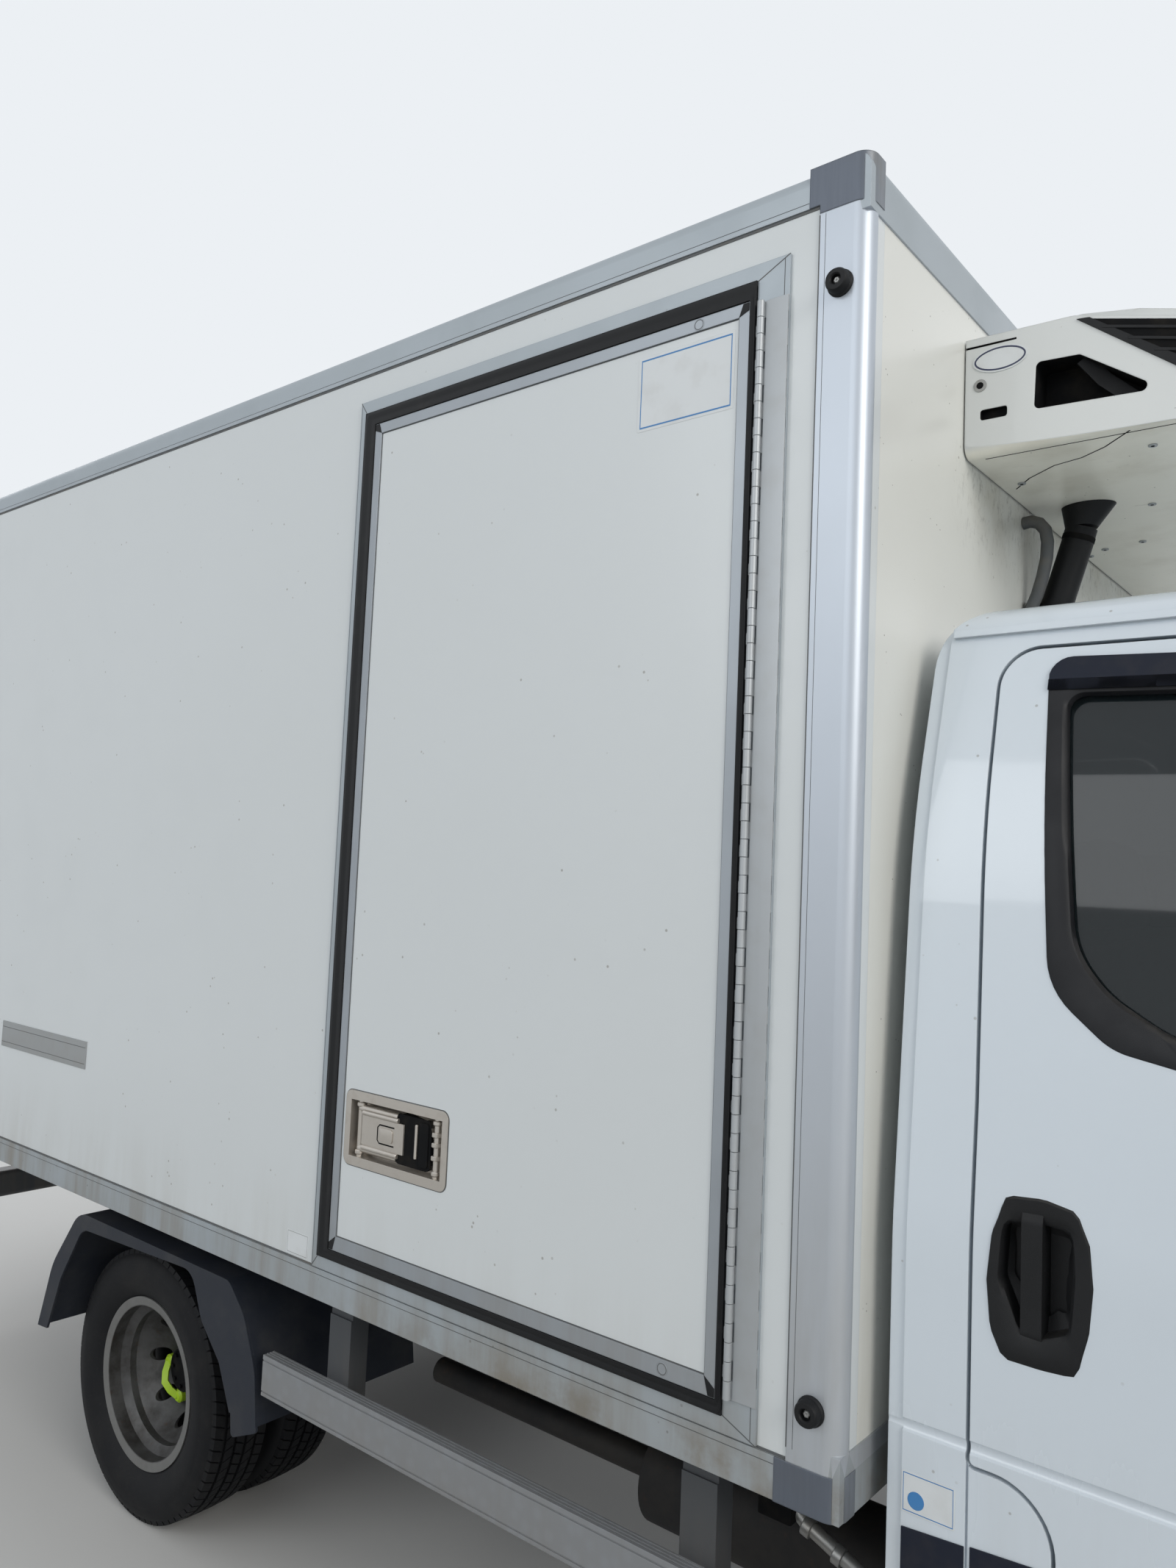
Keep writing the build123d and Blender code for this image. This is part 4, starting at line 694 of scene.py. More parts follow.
def casting_finish():
    """Corner casting, linished across, darker in its pores, with painted dark reflection on the faces that
    look to the sides.
    """
    f = Finish("brushed_casting", rgb(128, 133, 140), 0.46, 0.5)
    brush = f.noise(180, 3, 0.6, (1, 1, 0.05))
    f.tint(f.span(brush, 0.35, 0.7, (0, 0.4)), rgb(104, 108, 114))
    f.tint(f.span(f.noise(14, 5), 0.45, 0.7, (0, 0.35)), rgb(120, 116, 108))
    # Painted dark reflection: faces that look to either side are turned darker and bluer.
    sides = f.span(f.math("ABSOLUTE", f.facing("Y")), 0.5, 0.95)
    f.tint(f.math("MULTIPLY", sides, 0.75), rgb(84, 91, 103))
    return f.soft_edges(0.003).bump(brush, 0.0003, 0.6).bump(f.noise(60, 4), 0.0006, 0.4).done()


def stainless_finish():
    f = Finish("brushed_stainless", rgb(190, 184, 176), 0.3, 0.8, anisotropic=0.4)
    brush = f.noise(500, 2, 0.5, (0.03, 1, 1))
    f.gloss(f.span(brush, 0.3, 0.7), 0.34)
    f.tint(f.span(f.noise(40, 3), 0.5, 0.75, (0, 0.25)), rgb(160, 150, 138))
    return f.soft_edges(0.001).bump(brush, 0.00005, 0.5).done()


def cab_paint():
    """Gloss white, with film dirt low down and a few specks."""
    # The blue in this white is painted sky shade; the paint itself is white.
    f = Finish("cab_gloss_white", rgb(208, 217, 225), 0.26, coat_weight=0.8, coat_roughness=0.05)
    f.tint(f.span(f.noise(1.1, 4), 0.35, 0.7, (0, 0.12)), rgb(198, 208, 216))
    f.dust(0.5, 1.15, 0.35, DRY_DIRT)
    f.specks(34, 0.11, 0.5, rgb(120, 112, 98))
    return f.soft_edges(0.002).bump(f.noise(170, 2), 0.0002, 0.25).done()


def plastic_finish(name, colour, roughness=0.55, grain=900):
    """Moulded plastic with a fine leather-like grain, dusty on its upper faces."""
    f = Finish(name, colour, roughness, specular_ior_level=0.3)
    dusty = f.math("MULTIPLY", f.span(f.facing("Z"), 0.2, 1.0),
                   f.span(f.noise(22, 4), 0.3, 0.7, (0.05, 0.3)))
    f.tint(dusty, rgb(100, 97, 91))
    f.gloss(f.span(f.noise(12, 4), 0.4, 0.7), roughness + 0.12)
    return f.soft_edges(0.0015).bump(f.cells(grain), 0.00025, 0.5).done()


def rubber_finish():
    f = Finish("black_rubber", rgb(19, 20, 22), 0.55, specular_ior_level=0.25)
    f.tint(f.span(f.noise(18, 5, 0.6), 0.52, 0.8, (0, 0.22)), rgb(60, 59, 57))
    return f.soft_edges(0.0012).bump(f.noise(260, 3), 0.0002, 0.5).done()


def tyre_finish():
    """Tread and side wall: matt, with grey dust in patches."""
    f = Finish("tyre_rubber", rgb(17, 18, 21), 0.66, specular_ior_level=0.22)
    f.tint(f.span(f.noise(9, 6, 0.65), 0.42, 0.8, (0.0, 0.22)), rgb(54, 52, 49))
    f.tint(f.span(f.noise(160, 3), 0.58, 0.85, (0, 0.2)), rgb(70, 66, 60))
    return f.bump(f.noise(420, 3), 0.0003, 0.6).done()


def rim_finish():
    """Silver wheel paint gone grey with brake dust and dull rust in the pores."""
    f = Finish("wheel_paint", rgb(86, 86, 86), 0.46, 0.55)
    f.tint(f.span(f.noise(11, 6, 0.65), 0.38, 0.68, (0, 0.7)), rgb(46, 42, 38))
    f.tint(f.span(f.noise(48, 4), 0.6, 0.78, (0, 0.4)), rgb(78, 58, 42))
    f.tint(f.math("MULTIPLY", f.span(f.axle_distance(), 0.196, 0.2), 0.6), rgb(140, 140, 138))
    f.gloss(f.span(f.noise(20, 4), 0.35, 0.7), 0.75)
    return f.soft_edges(0.0015).bump(f.noise(120, 4), 0.0004, 0.5).done()


def chassis_finish():
    f = Finish("chassis_black", rgb(27, 27, 29), 0.6, specular_ior_level=0.25)
    f.tint(f.span(f.noise(5, 6, 0.65), 0.35, 0.75, (0.02, 0.4)), rgb(66, 61, 54))
    f.tint(f.span(f.noise(30, 4), 0.62, 0.8, (0, 0.25)), rgb(78, 56, 40))
    return f.soft_edges(0.002).bump(f.noise(90, 4), 0.0006, 0.5).done()


def iron_finish():
    f = Finish("cast_iron", rgb(70, 66, 62), 0.7, 0.3)
    f.tint(f.span(f.noise(13, 6, 0.7), 0.4, 0.75, (0.05, 0.5)), rgb(84, 66, 52))
    return f.soft_edges(0.003).bump(f.noise(150, 5, 0.6), 0.0012, 0.7).done()


def galvanised_finish():
    """Guard rail: dull zinc grey with long draw lines and road film."""
    f = Finish("guard_aluminium", rgb(140, 143, 147), 0.5, 0.35)
    f.tint(f.span(f.cells(34), 0.1, 0.6, (0, 0.22)), rgb(122, 122, 120))
    f.dust(0.5, 0.72, 0.3, DIRT)
    return f.soft_edges(0.0015).bump(f.noise(260, 2, 0.5, (0.02, 1, 1)), 0.0001, 0.5).done()


def post_finish():
    f = Finish("guard_post_paint", rgb(66, 69, 73), 0.55, 0.2)
    f.dust(0.5, 0.85, 0.3, DIRT)
    return f.soft_edges(0.002).bump(f.noise(130, 3), 0.0003, 0.5).done()


def mudguard_finish():
    f = Finish("mudguard_plastic", rgb(32, 37, 47), 0.55, specular_ior_level=0.3)
    f.tint(f.span(f.noise(7, 6, 0.65), 0.4, 0.8, (0.02, 0.3)), rgb(84, 82, 78))
    return f.soft_edges(0.002).bump(f.cells(700), 0.0003, 0.5).done()


def glass_finish(name, colour, cover, coat):
    """Thin tinted glass that lets part of the light through."""
    f = Finish(name, colour, 0.04, alpha=cover, coat_weight=coat, coat_roughness=0.02)
    f.gloss(f.span(f.noise(5, 4), 0.55, 0.8), 0.14)
    return f.done()


def lamp_finish():
    f = Finish("lamp_lens", rgb(226, 230, 234), 0.05, alpha=0.3, coat_weight=1.0)
    f.gloss(f.span(f.noise(30, 3), 0.6, 0.8), 0.12)
    return f.bump(f.wave(26, "Y"), 0.0008, 0.4).done()


def red_lens_finish():
    f = Finish("red_lens", rgb(168, 18, 22), 0.16, coat_weight=1.0)
    return f.soft_edges(0.002).bump(f.cells(160, jitter=0.0), 0.0015, 0.6).done()


def fabric_finish(name, colour, thread):
    """Woven seat cover: two sets of threads, with a slight bloom."""
    f = Finish(name, colour, 0.9, sheen_weight=0.3)
    warp = f.wave(430, "X")
    weft = f.wave(430, "Z")
    weave = f.math("MULTIPLY", warp, weft)
    f.tint(f.span(weave, 0.2, 0.8, (0, 0.3)), thread)
    f.tint(f.span(f.noise(16, 4), 0.4, 0.7, (0, 0.3)), rgb(60, 60, 62))
    return f.bump(weave, 0.0006, 0.7).done()


def resin_floor_finish():
    f = Finish("grit_resin_floor", rgb(150, 152, 154), 0.7)
    f.tint(f.span(f.cells(380), 0.2, 0.7, (0, 0.5)), rgb(112, 114, 118))
    return f.bump(f.cells(380), 0.0012, 0.8).done()


def unit_finish():
    """Cover of the cooling unit: off-white plastic, paler on its underside as painted bounce light, with oily
    streaks there.
    """
    f = Finish("unit_cover_white", rgb(206, 209, 208), 0.36, coat_weight=0.2)
    # Painted bounce light: faces that look down are made paler; the same mask then holds the oily streaks.
    under = f.span(f.facing("Z"), -0.2, -0.9)
    f.tint(under, rgb(240, 238, 226))
    f.tint(f.math("MULTIPLY", under, f.span(f.noise(6, 5, 0.6), 0.4, 0.8, (0.0, 0.35))), rgb(188, 180, 160))
    f.tint(f.span(f.noise(30, 5, 0.7, (0.3, 1, 1)), 0.64, 0.78, (0, 0.3)), rgb(140, 132, 116))
    f.specks(60, 0.12, 0.7, rgb(84, 74, 58))
    return f.soft_edges(0.004).bump(f.noise(220, 3), 0.0002, 0.5).done()


def make_finishes():
    return {
        "panel": panel_finish(),
        "front_wall": front_wall_finish(),
        "profile": profile_finish(),
        "casting": casting_finish(),
        "stainless": stainless_finish(),
        "paint": cab_paint(),
        "plastic": plastic_finish("black_plastic", rgb(18, 19, 21)),
        "trim": plastic_finish("window_trim", rgb(17, 18, 22), 0.42, 1500),
        "interior": plastic_finish("interior_plastic", rgb(66, 67, 70), 0.6, 700),
        "rubber": rubber_finish(),
        "tyre": tyre_finish(),
        "rim": rim_finish(),
        "chassis": chassis_finish(),
        "iron": iron_finish(),
        "galvanised": galvanised_finish(),
        "mudguard": mudguard_finish(),
        "windscreen": glass_finish("windscreen_glass", rgb(40, 54, 54), 0.36, 1.0),
        "glass": glass_finish("door_glass", rgb(20, 29, 32), 0.74, 0.2),
        "lamp": lamp_finish(),
        "red": red_lens_finish(),
        "seat": fabric_finish("seat_cloth", rgb(44, 45, 50), rgb(70, 72, 78)),
        "resin": resin_floor_finish(),
        "unit": unit_finish(),
        "post": post_profile_finish(),
        "beam": post_finish(),
        "edging": edging_finish(),
        # Black for black parts, also laid as painted shade in the cooling unit's pockets and lid groove.
        "dark": small_finish("black_and_painted_shade", rgb(10, 11, 13), 0.8, grime=0.05, specular=0.15),
        "seam": small_finish("joint_line", rgb(84, 87, 89), 0.6),
        "satin": small_finish("satin_hinge", rgb(168, 172, 175), 0.45, 0.4, 0.1),
        "zinc": small_finish("zinc_fitting", rgb(150, 150, 148), 0.42, 0.7, 0.3),
        "print_white": small_finish("print_white", rgb(214, 218, 220), 0.4, grime=0.1),
        "print_blue": small_finish("print_blue", rgb(62, 126, 184), 0.45, grime=0.05),
        "print_grey": small_finish("print_grey", rgb(150, 153, 154), 0.5, grime=0.1),
        "print_navy": small_finish("print_navy", rgb(38, 46, 78), 0.4, grime=0.05),
        "chrome": small_finish("lamp_bowl", rgb(206, 209, 212), 0.16, 0.9, 0.05),
        "mirror": small_finish("mirror_face", rgb(176, 186, 192), 0.05, 1.0, 0.05),
        "amber": small_finish("amber_lens", rgb(214, 112, 22), 0.22, grime=0.08),
        "clear": small_finish("clear_lens", rgb(206, 212, 216), 0.12, grime=0.08),
        "plate": small_finish("blank_plate", rgb(212, 212, 204), 0.42, grime=0.2),
        "bolster": fabric_finish("seat_bolster", rgb(30, 31, 34), rgb(52, 53, 58)),
        "piping": small_finish("seat_piping", rgb(96, 98, 102), 0.7, grime=0.1),
        "navy": small_finish("navy_plastic", rgb(24, 29, 42), 0.5, grime=0.04, specular=0.2),
        "lime": small_finish("lime_nut_link", rgb(176, 214, 38), 0.42, grime=0.12),
    }


# The CAD nodes that take each finish
NODE_FINISH = {
    "chassis": ("chassis_frame", "front_suspension", "propshaft", "exhaust"),
    "iron": ("leaf_springs", "rear_axle", "engine_block", "knuckle_left", "knuckle_right"),
    "plastic": ("fuel_tank", "front_bumper", "front_grille", "unit_grille"),
    "tyre": ("front_tyre_left", "front_tyre_right", "rear_tyres_left", "rear_tyres_right"),
    "rim": ("front_rim_left", "front_rim_right", "rear_rims_left", "rear_rims_right"),
    "paint": ("cab_shell", "front_wings", "bonnet", "cab_door_left", "cab_door_right"),
    "interior": ("cab_floor", "dashboard", "steering_wheel"),
    "lamp": ("headlamps",),
    "windscreen": ("windscreen",),
    "glass": ("cab_door_glass_left", "cab_door_glass_right"),
    "seat": ("seats",),
    "resin": ("box_floor",),
    "panel": ("box_side_left", "box_side_right", "box_roof", "rear_door_left", "rear_door_right",
              "side_door", "evaporator"),
    "front_wall": ("box_front_wall",),
    "profile": ("box_edge_rails", "side_door_frame"),
    "casting": ("box_corner_castings",),
    "stainless": ("rear_frame", "side_door_latch"),
    "rubber": ("door_buffers", "unit_hose"),
    "unit": ("unit_housing",),
    "galvanised": ("side_guards",),
    "mudguard": ("rear_mudguards",),
    "beam": ("underrun_bar",),
    "red": ("rear_lamps",),
}


def dress_nodes(finishes):
    for key, names in NODE_FINISH.items():
        for name in names:
            data = nodes[name].data
            data.materials.clear()
            data.materials.append(finishes[key])


# Tyres, with treads in blocks
WHEEL_RADIUS = (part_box("rear_tyres_right")[1].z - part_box("rear_tyres_right")[0].z) / 2
TYRE_WIDTH = 195 * MM
RIBS = ((20, 46), (55, 77), (86, 109), (118, 140), (149, 175))
TREAD_DEPTH = 8 * MM
TREAD_PITCHES = 72
SIPE = 0.14


def tyre_profile():
    """Half section of the casing below the tread, (radius, y), from one bead round to the other."""
    r = WHEEL_RADIUS
    w = TYRE_WIDTH
    side = [(203.5, 36), (205, 30), (214, 27), (222, 27), (225, 24), (240, 14), (262, 4.5), (284, 1.2),
            (300, 1.8),
            (304, 3.6), (309, 3.8), (322, 8), (334, 15)]
    near = [(a * MM, b * MM) for a, b in side]
    crown = r - TREAD_DEPTH
    near += [(crown - 1.5 * MM, 24 * MM), (crown, w / 2 - 20 * MM)]
    return near + [(a, w - b) for a, b in reversed(near)]


def add_tyre(shape, centre, y_low):
    turn = Matrix.Translation((centre.x, y_low, centre.z))
    shape.lathe(tyre_profile(), turn, 96, closed=True)
    step = tau / TREAD_PITCHES
    mid = TYRE_WIDTH / 2
    for rib, (low, high) in enumerate(RIBS):
        edge = rib in (0, len(RIBS) - 1)
        slant = (0.35 if rib % 2 else -0.35) * step
        for n in range(TREAD_PITCHES):
            start = (n + 0.5 * (rib % 2)) * step
            points = []
            for y, lean in ((low * MM, 0), (high * MM, 1)):
                drop = ((y - mid) / mid) ** 2 * 5 * MM
                top = WHEEL_RADIUS - drop
                root = top - TREAD_DEPTH - 3 * MM
                out = 0
                if edge and (y < mid) == (rib == 0) and lean == (0 if rib == 0 else 1):
                    root -= 8 * MM
                    out = (-7 if rib == 0 else 7) * MM
                for share in (SIPE / 2, 1 - SIPE / 2):
                    angle = start + share * step + slant * lean
                    points.append((root * cos(angle), y + out, root * sin(angle)))
                    points.append((top * cos(angle), y, top * sin(angle)))
            faces = [(1, 3, 7, 5), (0, 1, 5, 4), (2, 6, 7, 3), (0, 2, 3, 1), (4, 5, 7, 6)]
            shape.add([turn @ Vector(p) for p in points], faces)


def axle_middle(tyre):
    """Where the middle plane crosses the axle of a tyre."""
    low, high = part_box(tyre)
    return Vector(((low.x + high.x) / 2, 0, WHEEL_RADIUS))


def make_tyres(finishes):
    rear, front = axle_middle("rear_tyres_right"), axle_middle("front_tyre_right")
    for side in ("left", "right"):
        shape = Shape()
        low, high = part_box("rear_tyres_" + side)
        add_tyre(shape, rear, low.y)
        add_tyre(shape, rear, high.y - TYRE_WIDTH)
        piece = shape.write("rear_treads_" + side, "rear_wheels_" + side, "tyre", finishes["tyre"],
                            smooth=28)
        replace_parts(piece, "rear_tyres_" + side)
        shape = Shape()
        add_tyre(shape, front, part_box("front_tyre_" + side)[0].y)
        piece = shape.write("front_tread_" + side, "front_wheel_" + side, "tyre", finishes["tyre"],
                            smooth=28)
        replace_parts(piece, "front_tyre_" + side)


# Sizes that the small parts share with the solids
WALL_FACE = 1097
RAIL_FACE = 1100
FRAME_SKIN = 1103
PANEL_FACE = 1105.5
LEAF_FACE = 1108.5
FRAME_OUTLINE = ((-1265, 899), (-142, 2846))
SEAL_OUTLINE = ((-1243, 927), (-204, 2815))
LEAF_OUTLINE = ((-1203, 950), (-216, 2780))
PANEL_OUTLINE = ((-1182, 980), (-237, 2757))
HINGE_Z = (957, 2773)
POST_EDGE = -90
BUFFER_X = -49
BUFFER_HEIGHTS = (982, 2765)
LATCH_MIDDLE = (-1014, 1216.5)
GUARD_INNER = 1040.5
UNIT_FOOT = 2595
UNIT_POCKETS = [[(126, 67), (338, 60), (204, 152), (129, 155)], [(29, 65), (78, 65), (78, 85), (29, 85)]]
HANDLE_CUP = [(207, 1334), (259, 1339), (305, 1331), (322, 1290), (327, 1235), (322, 1175), (307, 1115),
              (261, 1111), (208, 1112), (190, 1150), (183, 1214), (189, 1280)]
HANDLE_WELL = [(204, 1298), (252, 1306), (298, 1303), (301, 1243), (296, 1163), (262, 1148), (227, 1151),
               (200, 1218)]
HANDLE_MIDDLE = (253, 1228)


def paint_nodes(f):
    """Areas of the solids that have a finish of their own, and painted shade in the cooling unit's side
    pockets and lid groove.
    """
    leaf_low, leaf_high = LEAF_OUTLINE

    def in_leaf(p):
        return leaf_low[0] - 0.2 < p.x < leaf_high[0] + 0.2 and leaf_low[1] - 0.2 < p.z < leaf_high[1] + 0.2

    paint("side_door", f["edging"], lambda p, n: in_leaf(p) and p.y < -PANEL_FACE - 0.2)
    paint("side_door", f["rubber"], lambda p, n: not in_leaf(p) and p.x < -203 and p.y < -FRAME_SKIN)
    paint("side_door", f["satin"], lambda p, n: p.x > -203.5)
    paint("side_door_frame", f["satin"], lambda p, n: p.x > -200 and p.y < -FRAME_SKIN - 0.2)
    mid_x, mid_z = LATCH_MIDDLE
    paint("side_door_latch", f["dark"],
          lambda p, n: mid_x - 3 < p.x < mid_x + 105 and abs(p.z - mid_z) < 52 and -1101 < p.y < -1086)
    paint("box_edge_rails", f["post"], lambda p, n: p.x > POST_EDGE - 1 and 915 < p.z < 2884)
    # Painted shade: the cooling unit's side pockets are made black inside.
    for pocket in UNIT_POCKETS:
        paint("unit_housing", f["dark"],
              lambda p, n: abs(p.y) > 590 and inside(offset(pocket, 1.5), p.x, p.z - UNIT_FOOT))
    # Painted shade: the groove under the unit's lid is made black.
    paint("unit_housing", f["dark"], lambda p, n: abs(p.z - 2805) < 2.1)
    paint("side_guards", f["beam"], lambda p, n: abs(p.y) < GUARD_INNER)
    for side, way in (("left", 1), ("right", -1)):
        door = "cab_door_" + side
        paint(door, f["plastic"], lambda p, n: inside(HANDLE_CUP, p.x, p.z) and 958 < abs(p.y) < 1004.6)
        paint(door, f["plastic"], lambda p, n: abs(p.y) > 1060)
        paint("rear_door_" + side, f["zinc"], lambda p, n: p.x < -4000.5)


def make_side_seal(f):
    """Rubber strip round the side door, with a rounded lip and black corner wedges in the edging."""
    shape = Shape()
    where = side_face(-RAIL_FACE)
    lip = [(0, 3.3), (0, 6.4), (0.1, 9.2), (0.28, 9.9), (0.46, 8.2), (0.6, 8.3), (0.74, 9.9), (0.95, 10.1),
           (0.98, 3.3)]
    rings = []
    for share, out in lip:
        low, high = ([a + (b - a) * share for a, b in zip(*pair)]
                     for pair in zip(SEAL_OUTLINE, LEAF_OUTLINE))
        rings.append((rounded(oblong(low, high), 9 - 7 * share), out))
    shape.loops(rings, where)
    face = side_face(-LEAF_FACE)
    for (x, z), point in zip(oblong(*LEAF_OUTLINE), oblong(*PANEL_OUTLINE)):
        right = 1 if point[0] > x else -1
        rise = 1 if point[1] > z else -1
        kite = [(x + right, z + rise), (x + right * 13, z + rise), point, (x + right, z + rise * 15)]
        shape.slab(kite, face, (-1, 0.8))
    shape.write("side_door_seal", "side_door", "black_rubber", f["rubber"])


def make_side_door_trim(f):
    """Plugs in the edging, and the sealant line round the inset panel."""
    shape = Shape()
    face = side_face(-LEAF_FACE)
    for centre in ((-321, 2768), (-320, 965)):
        shape.disc(centre, 11, face, (-0.5, 0.5), 28)
        shape.material(1)
        ring = circle(centre, 9.5, 28)
        shape.loops([(ring, 0.4), (ring, 0.7), (offset(ring, -1.2), 0.7), (offset(ring, -1.2), 0.4)], face)
        shape.material(0)
    shape.material(1)
    border = rounded(oblong(*PANEL_OUTLINE), 2)
    shape.line(offset(border, -1), 2, side_face(-PANEL_FACE), (-0.2, 0.5), True)
    shape.write("side_door_trim", "side_door", "alu_profile", f["edging"], f["seam"])


def make_side_frame_trim(f):
    """Cover strip over the hinge leaf, mitre joints at the corners and the step in the frame's profile."""
    shape = Shape()
    where = side_face(-FRAME_SKIN)
    shape.slab(oblong((-184, HINGE_Z[0]), (-141.4, HINGE_Z[1])), where, (2.9, 4.2), 0.4 * MM)
    shape.material(1)
    for outer, inner in zip(oblong(*FRAME_OUTLINE), oblong(*SEAL_OUTLINE)):
        shape.line([outer, inner], 1.8, where, (-0.3, 0.35))
    shape.line([(-152, 905), (-152, 2840)], 1.2, where, (-0.3, 0.3))
    shape.line([(-1262, 905), (-1262, 2840)], 0.8, where, (-0.3, 0.3))
    shape.write("side_frame_trim", "root", "alu_profile", f["satin"], f["seam"])


def make_box_seams(f):
    """Joints and draw lines of the edge profiles, and the sealant under the top rail."""
    shape = Shape()
    for way in (-1, 1):
        where = side_face(way * RAIL_FACE)
        shape.line([(POST_EDGE, 916), (POST_EDGE, 2896)], 2, where, (-2, 0.25))
        shape.line([(-79, 916), (-79, 2896)], 0.8, where, (-0.3, 0.2))
        for z, width in ((883, 1.2), (2924, 1.0)):
            shape.line([(-3990, z), (-111, z)], width, where, (-0.3, 0.25))
        wall = side_face(way * WALL_FACE)
        shape.line([(-3990, 2911), (-92, 2911)], 5, wall, (-0.3, 1.2))
        shape.line([(-3990, 898), (-92, 898)], 4, wall, (-0.3, 1.0))
    shape.write("box_joints", "root", "black_rubber", f["seam"])


def make_buffers(f):
    """Turned rubber stops with a screw in their hollow."""
    shape = Shape()
    side = [(0, 0), (23, 0), (23, 3), (20.5, 5.5), (20, 16), (17.5, 20), (10.5, 20.5), (8.5, 18), (8.5, 11),
            (0, 11)]
    for z in BUFFER_HEIGHTS:
        turn = Matrix.Translation(at(BUFFER_X, -RAIL_FACE, z)) @ Matrix.Rotation(pi, 4, "X")
        shape.material(0)
        shape.lathe([(r * MM, y * MM) for r, y in side], turn, 36)
        shape.material(1)
        shape.lathe([(0, 0.011), (0.0062, 0.011), (0.0062, 0.0135), (0.0045, 0.015), (0.002, 0.015),
                     (0, 0.0135)], turn, 6)
    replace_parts(shape.write("buffer_stops", "root", "black_rubber", f["rubber"], f["zinc"]), "door_buffers")


def make_latch_details(f):
    """Knobs and nuts on the pins, the pull tab's slot and the slim pin over the black body."""
    shape = Shape()
    x, z = LATCH_MIDDLE
    for pin in (-120, 117):
        for end in (-50, 50):
            shape.rod(at(x + pin, -1094.5, z + end - 5), at(x + pin, -1094.5, z + end + 5), 0.0105, 20,
                      0.002)
    for rise in (-24, 2, 22):
        shape.rod(at(x + 117, -1094.5, z + rise), at(x + 117, -1094.5, z + rise + 9), 0.012, 6, 0.001)
    shape.rod(at(x + 62, -1102, z - 31), at(x + 62, -1102, z + 38), 0.0035, 16, 0.001)
    for rise in (36, -36):
        shape.rod(at(x - 104, -1103, z + rise), at(x + 8, -1103, z + rise), 0.0055, 16, 0.001)
    face = side_face(-1103.5)
    tab = rounded(oblong((x - 50, z - 14), (x - 8, z + 14)), 7)
    shape.slab(tab, face, (-0.5, 2.2), 0.8 * MM)
    shape.material(1)
    slot = [(x - 4, z + 19), (x - 50, z + 19), (x - 56, z + 13), (x - 56, z - 13), (x - 50, z - 19),
            (x - 4, z - 19)]
    shape.line(slot, 3, face, (-0.4, 0.3))
    shape.slab(rounded(oblong((x + 72, z - 44), (x + 98, z + 44)), 5), side_face(-1100.5), (-0.5, 3),
               0.8 * MM)
    shape.material(2)
    rim = rounded(oblong((-1172, 1138), (-856, 1295)), 18)
    shape.line(offset(rim, 1.2), 1.6, side_face(-PANEL_FACE), (-0.2, 0.5), True)
    shape.write("latch_details", "side_door", "stainless", f["stainless"], f["dark"], f["seam"])


def make_labels(f):
    """Blank stickers: a sheet and its printed border, with no words."""
    shape = Shape()

    def sheet(low, high, where, border, width, colour):
        shape.material(0)
        shape.slab(rounded(oblong(low, high), 3), where, (-0.1, 0.35))
        shape.material(colour)
        inner = oblong((low[0] + border, low[1] + border), (high[0] - border, high[1] - border))
        shape.line(inner, width, where, (0.3, 0.5), True)

    sheet((-454, 2598), (-245, 2740), side_face(-PANEL_FACE), 7, 3.4, 1)
    shape.write("door_sticker", "side_door", "white_panel", f["print_white"], f["print_blue"])
    shape = Shape()
    wall = side_face(-WALL_FACE)
    sheet((-1365, 902), (-1286, 955), wall, 4, 1.2, 1)
    shape.slab(oblong((-2850, 1170), (-2325, 1246)), wall, (-0.2, 2.4), 0.5 * MM)
    shape.material(2)
    for z in (1229, 1184):
        shape.line([(-2846, z), (-2329, z)], 1.5, wall, (2.2, 2.6))
    shape.write("wall_labels", "root", "white_panel", f["print_white"], f["print_grey"], f["seam"])


def section_middle(name, z):
    """The middle and mean radius of a level cut through a CAD node, in millimetres."""
    data = nodes[name].data
    level = z * MM
    found = []
    for edge in data.edges:
        a, b = (data.vertices[i].co for i in edge.vertices)
        if (a.z - level) * (b.z - level) < 0:
            found.append(a.lerp(b, (level - a.z) / (b.z - a.z)))
    middle = Vector([(min(p[k] for p in found) + max(p[k] for p in found)) / 2 for k in range(3)])
    return middle, max((p - middle).length for p in found)


